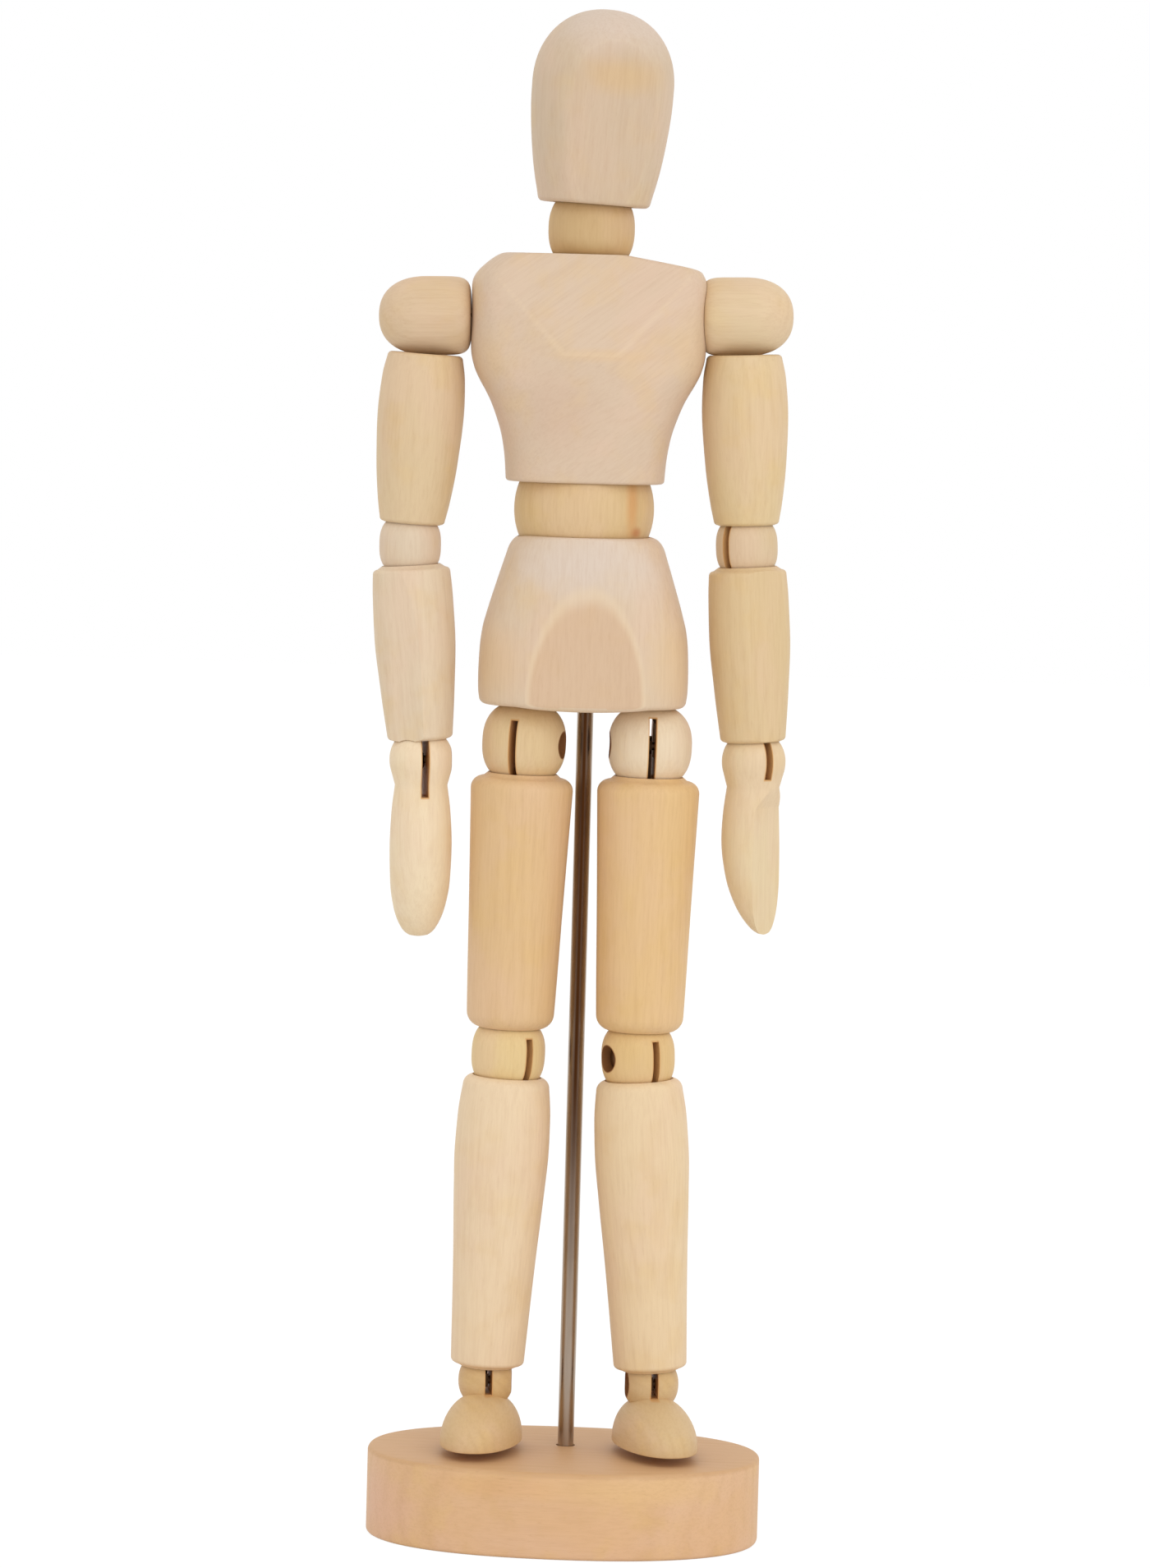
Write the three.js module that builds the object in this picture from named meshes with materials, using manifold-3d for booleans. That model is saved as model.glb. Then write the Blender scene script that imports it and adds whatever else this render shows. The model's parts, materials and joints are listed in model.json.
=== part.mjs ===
// Jointed wooden drawing figure, about 30 cm tall, on an oval foot with a steel support rod.
// Millimetres, +Z up. The origin is the middle of the foot's underside. The figure faces -Y,
// and left and right are the figure's own, so its right side is at -X.
// Each limb is hollow. A spring inside it pulls a steel link at its upper end and a pin at its
// lower end, so the limb is squeezed between two balls and holds any pose by friction.

import * as THREE from 'three';
import { mergeVertices } from 'three/addons/utils/BufferGeometryUtils.js';
import Module from 'manifold-3d';

const wasm = await Module();
wasm.setup();

const radians = THREE.MathUtils.degToRad;

// Gaps

const clearance = 0.3;
const pinClearance = 0.25;

// Foot and support rod

const baseLength = 78;
const baseDepth = 53.7;
const baseHeight = 17.1;
const baseEdgeRadius = 0.8;
const baseOvalPower = 2.25;
const baseTurn = -4;
const rodDiameter = 3.2;
const rodSetback = 5.4;
const rodDepthInBase = 12;
const rodDepthInPelvis = 17;
const rodEndChamfer = 0.4;

// Pelvis, waist, chest, neck and head

const pelvisHeight = 33.5;
const pelvisTopWidth = 30.2;
const pelvisTopDepth = 28;
const pelvisDepth = 30;
const pelvisTurn = 5;
const rodOffsetX = 0.65;
const rodOffsetY = 4;
const hipOffset = 1.15;
const pelvisPower = 2.5;
const pelvisFacetHeight = 23;
const pelvisFacetTilt = 9;

const waistBallRadius = 13.8;
const waistBallPower = 2.05;
const waistGap = 10.6;
const torsoOffset = -0.7;

const chestHeight = 44.7;
const chestWaistWidth = 31;
const chestWaistDepth = 28;
const chestWidth = 46.2;
const chestDepth = 31.4;
const chestTopWidth = 32.6;
const chestTopDepth = 19.6;
const chestPower = 2.7;
const shoulderSlope = 9.5;
const shoulderSlopeStart = 7;
const chestTurn = 2;
const pectoralHeight = 25;
const pectoralDepth = 15.2;
const breastTilt = 17;
const collarTilt = 4;
const collarTurn = 14.4;
const collarDepth = 16;

const neckBallRadius = 8.5;
const neckBallPower = 2.4;
const neckGap = 9.8;

const headHeight = 38.2;
const headWidth = 27.6;
const headDepth = 29.5;
const headChinWidth = 22;
const headChinDepth = 23.5;
const headPower = 2.15;
const crownHeight = 15;
const crownPower = 2.15;
const headLean = 3;
const headTurn = 12;
const faceDepth = 12.4;
const faceTilt = 3;

// Arms

const shoulderHeight = 32.6;
const shoulderOffset = -0.6;
const shoulderLean = -1.3;
const shoulderSpread = 31;
const shoulderBallRadius = 7.6;
const shoulderInnerReach = 8.3;
const shoulderInnerPower = 4;
const shoulderOuterReach = 9.8;
const shoulderOuterPower = 2.2;
const shoulderKerfBack = 3;

const upperArmSpan = 45.3;
const upperArmTopDiameter = 14.2;
const upperArmDiameter = 17;
const upperArmBottomDiameter = 12.4;
const upperArmTopGap = 7.5;
const upperArmTopEdge = 0.9;
const upperArmBottomGap = 4.4;

const elbowRadius = 6.1;
const elbowPower = 2.7;
const elbowKerfTop = 4.7;

const forearmSpan = 42.5;
const forearmTopDiameter = 15.2;
const forearmDiameter = 16.2;
const forearmBottomDiameter = 12.8;
const forearmTopGap = 4.6;
const forearmBottomGap = 4.1;
const forearmFlatTurn = 29;

const wristRadius = 6.3;
const wristPower = 2.1;
const handNeckRadius = 5.2;
const handNeckDrop = 5;
const handRadius = 6.15;
const handRadiusDrop = 17;
const handCurl = 4.2;
const handCurlDrop = 12;
const palmDepth = 3.3;
const palmStartTilt = 25;

// Legs

const thighRodGap = 0.65;
const hipInset = 8.4;
const hipDrop = 7.7;
const hipRadius = 8.3;
const hipPower = 2.25;

const thighSpan = 61.9;
const thighTopDiameter = 20.4;
const thighBottomDiameter = 17.8;
const thighTopGap = 6.8;
const thighBottomGap = 5.2;
const thighTopEdge = 1.8;
const thighBottomEdge = 3.4;

const kneeRadius = 7.3;
const kneePower = 2.6;
const kneeKerfTop = 3.6;

const shinSpan = 65.6;
const shinTopDiameter = 16.2;
const shinDiameter = 18.8;
const shinBottomDiameter = 14.5;
const shinTopGap = 4.3;
const shinBottomGap = 3.4;

const ankleRadius = 5.5;
const anklePower = 2.2;
const footLength = 30;
const footWidth = 15.7;
const footHeight = 9.4;
const footSoleDrop = 11.4;
const footHeelReach = 10.5;
const footBallReach = 14.5;
const footPower = 2.2;
const footPitch = 0.6;
const footHover = 2;

// Turned edges shared by the limbs

const limbEdge = 1.3;

// Hardware: saw slots, pins, links and springs

const kerfWidth = 1.4;
const pinRadius = 0.8;
const pinHeadRadius = 2.2;
const pinHeadThickness = 0.8;
const pinHoleRadius = 2.6;
const pinHeadDepth = 1.7;
const pinReachShare = 0.8;
const linkThickness = 0.6;
const linkHeadRadius = 2;
const linkWidth = 2.6;
const linkRodRadius = 0.65;
const linkButtonRadius = 1.5;
const linkButtonThickness = 1;
const linkBladeReach = 4;
const linkRodReach = 4.5;
const wireRadius = 0.4;
const coilRadius = 2.2;
const coneRadius = 1.45;
const eyeRadius = 1.7;
const eyeOffset = 1.5;
const eyeStepDrop = 0.7;
const eyeLegReach = 2.9;
const springLegLength = 12;
const anchorHole = 1;
const anchorShoulder = 3.4;
const anchorSpringLength = 15;
const waistSpringReach = 18;
const neckSpringReach = 11;
const shoulderCoilReach = 12;

// How each side stands in the rest pose. A lean turns a limb about Y, so a positive one takes its
// lower end towards -X. A turn is about the limb's own length, anticlockwise from above.

const arms = [
  {
    side: 'right', sign: -1, lean: 3.2, forearmLean: -4.4, handLean: -1.1,
    elbowTurn: 90, wristTurn: 10, palmTurn: -182, handKerfDepth: 7.2, elbowPinSide: 1, wristPinSide: 1,
    forearmFlatDepth: 7.5, forearmFlatTilt: 4, handLength: 35.5,
  },
  {
    side: 'left', sign: 1, lean: -2.4, forearmLean: -3.5, handLean: -0.3,
    elbowTurn: -44, wristTurn: 29, palmTurn: 30, handKerfDepth: 3.2, elbowPinSide: -1, wristPinSide: 1,
    forearmFlatDepth: 6.9, forearmFlatTilt: 1.6, handLength: 34.2,
  },
];
const legs = [
  {
    side: 'right', sign: -1, lean: 1.4, shinLean: 2.4,
    hipTurn: -16, kneeTurn: 36, ankleTurn: 7, footTurn: -9, hipKerfTop: 4.7, hipPinSide: 1, kneePinSide: 1,
    anklePinSide: 1,
  },
  {
    side: 'left', sign: 1, lean: 0.6, shinLean: -3.8,
    hipTurn: 3, kneeTurn: 30, ankleTurn: 8, footTurn: 14, hipKerfTop: 5.8, hipPinSide: -1, kneePinSide: -1,
    anklePinSide: -1,
  },
];

// Fineness of the round shapes

const blockSides = 22;
const limbSides = 14;
const boreSides = 6;
const wireSides = 4;
const coilSteps = 6;
const coilTurns = 3;

// Places that follow from the sizes above

function legDrop(leg) {
  return thighSpan * Math.cos(radians(leg.lean)) + shinSpan * Math.cos(radians(leg.shinLean));
}

const longestLeg = Math.max(...legs.map((leg) => legDrop(leg)));
const pelvisBottomHeight = baseHeight + footHover + footSoleDrop + longestLeg + hipDrop;
const pelvisTopHeight = pelvisBottomHeight + pelvisHeight;
const waistHeight = pelvisTopHeight + waistGap / 2;
const chestBottomHeight = pelvisTopHeight + waistGap;
const chestTopHeight = chestBottomHeight + chestHeight;
const neckHeight = chestTopHeight + neckGap / 2;
const hipSpread = thighTopDiameter + rodDiameter + 2 * thighRodGap;
const pelvisWidth = hipSpread + 2 * hipInset;
const boreRadius = coilRadius + wireRadius + clearance;
const pocketRadius = Math.hypot(eyeOffset + wireRadius, eyeRadius + wireRadius) + 0.2;

// Materials

function wood(name, color) {
  return new THREE.MeshStandardMaterial({ name, color, roughness: 0.6, metalness: 0 });
}

const paleWood = wood('pale_wood', 0xe6cfae);
const creamWood = wood('cream_wood', 0xe9d3a6);
const honeyWood = wood('honey_wood', 0xe0bd88);
const baseWood = wood('base_wood', 0xd9b492);
const steel = new THREE.MeshStandardMaterial({ name: 'steel', color: 0x8f8a85, roughness: 0.3, metalness: 1 });

// Solids: joining and cutting closed meshes

function solidOf(geometry) {
  const bare = geometry.clone();
  bare.deleteAttribute('normal');
  bare.deleteAttribute('uv');
  const merged = mergeVertices(bare, 1e-4);
  const index = merged.index.array;
  const kept = [];
  for (let i = 0; i < index.length; i += 3) {
    const [a, b, c] = [index[i], index[i + 1], index[i + 2]];
    if (a !== b && b !== c && c !== a) kept.push(a, b, c);
  }
  return new wasm.Manifold(new wasm.Mesh({
    numProp: 3,
    vertProperties: new Float32Array(merged.attributes.position.array),
    triVerts: new Uint32Array(kept),
  }));
}

function geometryOf(solid) {
  const mesh = solid.getMesh();
  const geometry = new THREE.BufferGeometry();
  geometry.setAttribute('position', new THREE.BufferAttribute(mesh.vertProperties, 3));
  geometry.setIndex(new THREE.BufferAttribute(mesh.triVerts, 1));
  geometry.computeVertexNormals();
  return geometry;
}

function carve(blank, tools) {
  let solid = solidOf(blank);
  for (const tool of tools) solid = solid.subtract(solidOf(tool));
  return geometryOf(solid);
}

function join(first, second) {
  return geometryOf(solidOf(first).add(solidOf(second)));
}

// The space that two solids share.
function common(first, second) {
  return geometryOf(solidOf(first).intersect(solidOf(second)));
}

// Shapes

// A solid of revolution about Z. The profile is a list of [radius, height] from the bottom up.
function turned(profile, sides) {
  const points = profile.map(([radius, height]) => new THREE.Vector2(radius, height));
  return new THREE.LatheGeometry(points, sides).rotateX(Math.PI / 2);
}

function cylinder(radius, from, to, sides = boreSides) {
  return turned([[0, from], [radius, from], [radius, to], [0, to]], sides);
}

function superRadius(share, power) {
  return Math.pow(Math.max(0, 1 - Math.pow(Math.abs(share), power)), 1 / power);
}

// The profile of a ball that is fuller than a sphere when its power is over 2.
function ballProfile(radius, halfHeight, power, steps = 8) {
  const profile = [];
  for (let i = 0; i <= steps; i += 1) {
    const angle = Math.PI * (i / steps - 0.5);
    const share = Math.sign(angle) * Math.pow(Math.abs(Math.sin(angle)), 2 / power);
    const across = i % steps === 0 ? 0 : radius * superRadius(share, power);
    profile.push([across, halfHeight * share]);
  }
  return profile;
}

// How far a ball's surface reaches from its middle, whichever way it is turned.
function sweptRadius(radius, power) {
  return radius * Math.pow(2, 0.5 - 1 / power);
}

// A round seat for a ball. Its flat facets stay outside the true sphere.
function seat(radius, power) {
  const steps = 10;
  const outward = 1 / (Math.cos(Math.PI / blockSides) * Math.cos(Math.PI / (2 * steps)));
  const size = (sweptRadius(radius, power) + clearance) * outward;
  return turned(ballProfile(size, size, 2, steps), blockSides);
}

// A block whose cross-section is a rounded rectangle of changing size.
// Controls are [half width, half depth, height] from the bottom up, joined by a smooth curve.
function shapedBlock(controls, rows, power, sides = blockSides) {
  const curve = new THREE.CatmullRomCurve3(controls.map((c) => new THREE.Vector3(...c)), false, 'centripetal');
  const levels = curve.getPoints(rows);
  const profile = levels.map((level, i) => new THREE.Vector2(1, i));
  profile.unshift(new THREE.Vector2(0, 0));
  profile.push(new THREE.Vector2(0, rows));
  const geometry = new THREE.LatheGeometry(profile, sides).rotateX(Math.PI / 2);
  const place = geometry.attributes.position;
  for (let i = 0; i < place.count; i += 1) {
    const level = levels[Math.round(place.getZ(i))];
    const angle = Math.atan2(place.getY(i), place.getX(i));
    const reach = Math.hypot(place.getX(i), place.getY(i)) < 0.5 ? 0 : 1;
    const across = Math.sign(Math.cos(angle)) * Math.pow(Math.abs(Math.cos(angle)), 2 / power);
    const along = Math.sign(Math.sin(angle)) * Math.pow(Math.abs(Math.sin(angle)), 2 / power);
    place.setXYZ(i, reach * level.x * across, reach * level.y * along, level.z);
  }
  return geometry;
}

// Everything beyond a plane, as a big box to cut away. The plane faces along its normal.
function beyond(point, normal) {
  const size = 120;
  const box = new THREE.BoxGeometry(size, size, size).translate(0, 0, size / 2);
  const up = new THREE.Vector3(0, 0, 1);
  const turn = new THREE.Quaternion().setFromUnitVectors(up, normal.clone().normalize());
  return box.applyQuaternion(turn).translate(point.x, point.y, point.z);
}

// A direction facing forwards, tilted up and turned towards +X.
function facing(tilt, turn) {
  const [up, round] = [radians(tilt), radians(turn)];
  return new THREE.Vector3(Math.sin(round) * Math.cos(up), -Math.cos(round) * Math.cos(up), Math.sin(up));
}

function movedTo(geometry, position, lean = 0, turn = 0) {
  return geometry.rotateZ(radians(turn)).rotateY(radians(lean)).translate(...position);
}

function tube(points, steps) {
  const outline = [];
  for (let i = 0; i < wireSides; i += 1) {
    const angle = (2 * Math.PI * i) / wireSides;
    outline.push(new THREE.Vector2(wireRadius * Math.cos(angle), wireRadius * Math.sin(angle)));
  }
  const extrudePath = new THREE.CatmullRomCurve3(points, false, 'centripetal');
  return new THREE.ExtrudeGeometry(new THREE.Shape(outline), { steps, extrudePath, curveSegments: 1 });
}

// Hardware. Every ball joint has its middle at the origin, its pin along X and its saw slot in
// the YZ plane. The limb above lies along +Z and the limb below along -Z.

function kerf(radius, from, to) {
  return new THREE.BoxGeometry(kerfWidth, 2 * radius + 4, to - from).translate(0, 0, (from + to) / 2);
}

function alongX(geometry, side) {
  return geometry.rotateY((side * Math.PI) / 2);
}

function pinHeadFloor(radius) {
  return radius - pinHeadDepth - pinHeadThickness;
}

function pinHoles(radius, side) {
  const floor = pinHeadFloor(radius) - clearance;
  return [
    alongX(cylinder(pinRadius + pinClearance, -radius * pinReachShare - clearance, floor + 1), side),
    alongX(cylinder(pinHoleRadius, floor, radius + 2, limbSides), side),
  ];
}

function jointPin(radius, side) {
  const floor = pinHeadFloor(radius);
  const profile = [
    [0, -radius * pinReachShare], [pinRadius, -radius * pinReachShare], [pinRadius, floor],
    [pinHeadRadius, floor], [pinHeadRadius, floor + pinHeadThickness], [0, floor + pinHeadThickness],
  ];
  return alongX(turned(profile, boreSides), side);
}

// A ball between two limbs: slot open below, pocket open above for the eye of a spring.
function middleBall(radius, power, kerfTop, pinSide) {
  const blank = turned(ballProfile(radius, radius, power), limbSides);
  const pocket = cylinder(pocketRadius, -eyeRadius - wireRadius - clearance, radius + 2, boreSides);
  return carve(blank, [kerf(radius, -radius - 2, kerfTop), pocket, ...pinHoles(radius, pinSide)]);
}

// The flat link that swings in a saw slot: an eye, a blade, a round shank and a button.
function jointLink(seatGap) {
  const bladeEnd = -seatGap - linkBladeReach;
  const buttonTop = bladeEnd - linkRodReach;
  const half = linkWidth / 2;
  const joinAngle = Math.asin(half / linkHeadRadius);
  const outline = new THREE.Shape();
  outline.moveTo(-half, bladeEnd);
  outline.lineTo(half, bladeEnd);
  outline.absarc(0, 0, linkHeadRadius, joinAngle - Math.PI / 2, 1.5 * Math.PI - joinAngle, false);
  outline.closePath();
  const hole = new THREE.Path();
  hole.absarc(0, 0, pinRadius + clearance, 0, 2 * Math.PI, true);
  outline.holes.push(hole);
  const blade = new THREE.ExtrudeGeometry(outline, { depth: linkThickness, bevelEnabled: false, curveSegments: 5 });
  blade.translate(0, 0, -linkThickness / 2).rotateX(Math.PI / 2).rotateZ(Math.PI / 2);
  const shank = turned([
    [0, buttonTop - linkButtonThickness], [linkButtonRadius, buttonTop - linkButtonThickness],
    [linkButtonRadius, buttonTop], [linkRodRadius, buttonTop], [linkRodRadius, bladeEnd + 0.4], [0, bladeEnd + 0.4],
  ], boreSides);
  return join(blade, shank);
}

// The end of a spring: a straight leg that steps aside and closes round a pin. It is drawn from
// the leg to the pin, with the pin at the origin and the leg coming along +Z.
function eyePoints(side) {
  const x = side * eyeOffset;
  const points = [
    new THREE.Vector3(0, 0, 2 * eyeRadius + eyeLegReach),
    new THREE.Vector3(x, 0, 2 * eyeRadius + eyeStepDrop),
  ];
  for (let angle = 10; angle >= -230; angle -= 40) {
    points.push(new THREE.Vector3(x, eyeRadius * Math.cos(radians(angle)), eyeRadius * Math.sin(radians(angle))));
  }
  return points;
}

function coilPoints(from, to, turns, startRadius, endRadius) {
  const points = [];
  const count = Math.round(turns * coilSteps);
  for (let i = 0; i <= count; i += 1) {
    const share = i / count;
    const angle = share * turns * 2 * Math.PI;
    const radius = startRadius + (endRadius - startRadius) * share;
    points.push(new THREE.Vector3(radius * Math.cos(angle), radius * Math.sin(angle), from + (to - from) * share));
  }
  return points;
}

// The spring inside a limb. Its coned top turn hangs on the button of the link above, and its
// lower leg runs down the middle to the pin of the ball below. The upper pin is at the origin.
function limbSpring(span, seatGap, side) {
  const buttonTop = -seatGap - linkBladeReach - linkRodReach;
  const coilTop = buttonTop + wireRadius + 0.5;
  const coilBottom = -span + springLegLength;
  const points = coilPoints(coilTop + 2 * wireRadius, coilTop, 1, coneRadius, coilRadius);
  points.push(...coilPoints(coilTop, coilBottom, coilTurns, coilRadius, coilRadius).slice(1));
  points.push(new THREE.Vector3(coilRadius * 0.5, coilRadius * 0.45, coilBottom - 0.9));
  points.push(new THREE.Vector3(0, 0, coilBottom - 2));
  for (const point of eyePoints(side)) points.push(point.setZ(point.z - span));
  return tube(points, 36);
}

// A spring that holds a ball against a block. Its leg runs from the pin through a narrow hole
// and up the middle of the coil, which comes back down and presses on the floor of its bore.
function anchorSpring(seatGap, side) {
  const bottom = seatGap + anchorShoulder + clearance + wireRadius;
  const top = bottom + anchorSpringLength;
  const points = coilPoints(bottom, top, coilTurns, coilRadius, coilRadius);
  points.push(new THREE.Vector3(coilRadius * 0.5, coilRadius * 0.6, top + 0.8));
  points.push(new THREE.Vector3(0, 0, top + 0.4));
  points.push(new THREE.Vector3(0, 0, top - 1.5));
  points.push(...eyePoints(side));
  return tube(points, 36);
}

function anchorBore(seatGap) {
  const floor = seatGap + anchorShoulder;
  const top = floor + anchorSpringLength + 2 * clearance + 2 * wireRadius + 1.2;
  return [
    cylinder(anchorHole, 0, floor + 1),
    cylinder(boreRadius, floor, top),
  ];
}

// The spring across the chest, from the pin of the right shoulder ball to that of the left.
function crossSpring(spread, reach) {
  const [upright, across] = [new THREE.Vector3(0, 0, 1), new THREE.Vector3(0, 1, 0)];
  const eye = (sign) => eyePoints(-1).map((point) => point.applyAxisAngle(upright, Math.PI / 2)
    .applyAxisAngle(across, (-sign * Math.PI) / 2).add(new THREE.Vector3(sign * spread, 0, 0)));
  const coil = coilPoints(-reach, reach, coilTurns, coilRadius, coilRadius)
    .map((point) => point.applyAxisAngle(across, Math.PI / 2));
  const [start, end] = [new THREE.Vector3(-reach - 2, 0, 0), new THREE.Vector3(reach + 2, 0, 0)];
  return tube([...eye(-1).reverse(), start, ...coil, end, ...eye(1)], 56);
}

function straightSpring(reach, turns) {
  return tube(coilPoints(-reach, reach, turns, coilRadius, coilRadius), turns * coilSteps);
}

function straightBore(reach) {
  return cylinder(boreRadius + clearance, -reach - clearance - wireRadius, reach + clearance + wireRadius);
}

// Foot and rod

function makeBase() {
  const [x, y, r] = [baseLength / 2, baseDepth / 2, baseEdgeRadius];
  const controls = [
    [x - r, y - r, 0], [x - r * 0.3, y - r * 0.3, r * 0.3], [x, y, r],
    [x, y, baseHeight - r], [x - r * 0.3, y - r * 0.3, baseHeight - r * 0.3], [x - r, y - r, baseHeight],
  ];
  const blank = shapedBlock(controls, 5, baseOvalPower, 32);
  const floor = baseHeight - rodDepthInBase - clearance;
  const hole = cylinder(rodDiameter / 2 + clearance, floor, baseHeight + 1, 16);
  return carve(blank, [hole.translate(0, rodSetback, 0)]);
}

function makeRod() {
  const [r, c] = [rodDiameter / 2, rodEndChamfer];
  const bottom = baseHeight - rodDepthInBase;
  const top = pelvisBottomHeight + rodDepthInPelvis;
  return turned([
    [0, bottom], [r - c, bottom], [r, bottom + c], [r, top - c], [r - c, top], [0, top],
  ], 16);
}

// Blocks of the body, each with its own bottom face at Z 0

function hipPlace(leg) {
  return [leg.sign * hipSpread / 2 + hipOffset, 0, -hipDrop];
}

function makePelvis() {
  const [topX, topY] = [pelvisTopWidth / 2, pelvisTopDepth / 2];
  const [x, y, h] = [pelvisWidth / 2, pelvisDepth / 2, pelvisHeight];
  const controls = [
    [x - 3, y - 3, 0], [x - 1, y - 1, 1.2], [x - 0.2, y - 0.3, 3.6], [x, y, h * 0.3], [x - 0.7, y, h * 0.46],
    [x - 2.4, y - 0.3, h * 0.66], [topX + 1.2, topY + 0.3, h * 0.88], [topX + 0.4, topY, h - 0.6],
    [topX - 0.3, topY - 0.5, h],
  ];
  const blank = shapedBlock(controls, 8, pelvisPower);
  const facetPoint = new THREE.Vector3(0, -y + 0.2, pelvisFacetHeight);
  const waistPlace = [torsoOffset, 0, h + waistGap / 2];
  const waistSeat = seat(waistBallRadius, waistBallPower).translate(...waistPlace);
  const waistBore = straightBore(waistSpringReach).translate(...waistPlace);
  const rodHole = cylinder(rodDiameter / 2 + clearance, -1, rodDepthInPelvis + clearance, 16);
  const tools = [
    beyond(facetPoint, facing(-pelvisFacetTilt, pelvisTurn)), waistSeat, waistBore,
    rodHole.translate(rodOffsetX, rodOffsetY, 0),
  ];
  for (const leg of legs) {
    tools.push(movedTo(seat(hipRadius, hipPower), hipPlace(leg)));
    for (const bore of anchorBore(hipDrop)) tools.push(movedTo(bore, hipPlace(leg), leg.lean));
  }
  return carve(blank, tools);
}

function makeWaistBall() {
  const blank = turned(ballProfile(waistBallRadius, waistBallRadius, waistBallPower), blockSides);
  return carve(blank, [cylinder(boreRadius + clearance, -waistBallRadius - 1, waistBallRadius + 1)]);
}

// The shoulder balls, their pins and their spring lie on one line across the chest.
const shoulderLine = [shoulderOffset, 0, shoulderHeight];

// A shoulder ball is blunt towards the chest and rounder outside. Its pin is at the origin.
function shoulderBody(arm, grown) {
  const radius = shoulderBallRadius + grown;
  const inner = ballProfile(radius, shoulderInnerReach + grown, shoulderInnerPower).filter(([, z]) => z < 0);
  const outer = ballProfile(radius, shoulderOuterReach + grown, shoulderOuterPower).filter(([, z]) => z >= 0);
  return alongX(turned([...inner, ...outer], limbSides), arm.sign);
}

function shoulderSeat(arm) {
  const ball = shoulderBody(arm, clearance).translate(arm.sign * shoulderSpread, 0, 0);
  return movedTo(ball, shoulderLine, shoulderLean);
}

function makeChest() {
  const [waistX, waistY] = [chestWaistWidth / 2, chestWaistDepth / 2];
  const [topX, topY] = [chestTopWidth / 2, chestTopDepth / 2];
  const [x, y, h] = [chestWidth / 2, chestDepth / 2, chestHeight];
  const controls = [
    [waistX - 0.5, waistY - 0.5, 0], [waistX, waistY, 0.7], [waistX + 0.7, waistY + 0.4, h * 0.14],
    [waistX + 2.4, waistY + 0.9, h * 0.28], [x - 2, y - 0.3, h * 0.44], [x, y, h * 0.58],
    [x, y - 0.6, h * 0.8], [x - 0.4, y - 2.6, h * 0.89], [x - 2.6, topY + 1.4, h * 0.955],
    [topX, topY, h],
  ];
  const blank = shapedBlock(controls, 9, chestPower);
  const pectoral = new THREE.Vector3(0, -pectoralDepth, pectoralHeight);
  const waistFront = Math.atan((pectoralDepth - waistY + 0.1) / pectoralHeight);
  const slopeUp = new THREE.Vector3(Math.sin(radians(shoulderSlope)), 0, Math.cos(radians(shoulderSlope)));
  const tools = [
    beyond(pectoral, facing(-THREE.MathUtils.radToDeg(waistFront), chestTurn)),
    beyond(pectoral, facing(breastTilt, chestTurn)),
    beyond(new THREE.Vector3(shoulderSlopeStart, 0, h), slopeUp),
    seat(waistBallRadius, waistBallPower).translate(0, 0, -waistGap / 2),
    straightBore(waistSpringReach).translate(0, 0, -waistGap / 2),
    seat(neckBallRadius, neckBallPower).translate(0, 0, h + neckGap / 2),
    straightBore(neckSpringReach).translate(0, 0, h + neckGap / 2),
  ];
  for (const arm of arms) {
    const normal = facing(collarTilt, chestTurn + arm.sign * collarTurn);
    const collarPoint = normal.clone().multiplyScalar(collarDepth);
    collarPoint.z += pectoralHeight;
    tools.push(beyond(collarPoint, normal), shoulderSeat(arm));
  }
  const bore = alongX(cylinder(boreRadius, -shoulderSpread, shoulderSpread), 1);
  tools.push(movedTo(bore, shoulderLine, shoulderLean));
  return carve(blank, tools);
}

function makeNeckBall() {
  const blank = turned(ballProfile(neckBallRadius, neckBallRadius, neckBallPower), blockSides);
  return carve(blank, [cylinder(boreRadius + clearance, -neckBallRadius - 1, neckBallRadius + 1)]);
}

function makeHead() {
  const [x, y, h] = [headWidth / 2, headDepth / 2, headHeight];
  const [chinX, chinY] = [headChinWidth / 2, headChinDepth / 2];
  const controls = [
    [chinX - 0.8, chinY - 0.8, 0], [chinX, chinY, 0.8], [chinX + 0.9, chinY + 1, h * 0.12],
    [x - 0.8, y - 1, h * 0.34], [x, y, h * 0.58],
  ];
  for (let angle = 20; angle < 90; angle += 20) {
    const rise = Math.pow(Math.sin(radians(angle)), 2 / crownPower);
    const shrink = superRadius(rise, crownPower);
    controls.push([x * shrink, y * shrink, h - crownHeight + crownHeight * rise]);
  }
  controls.push([0.6, 0.6, h]);
  const blank = shapedBlock(controls, 10, headPower);
  const face = new THREE.Vector3(0, -faceDepth, h * 0.3);
  return carve(blank, [
    beyond(face, facing(-faceTilt, 0)),
    seat(neckBallRadius, neckBallPower).translate(0, 0, -neckGap / 2),
    straightBore(neckSpringReach).translate(0, 0, -neckGap / 2),
  ]);
}

// Limbs. The upper pin is at the origin and the limb hangs along -Z.

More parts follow.
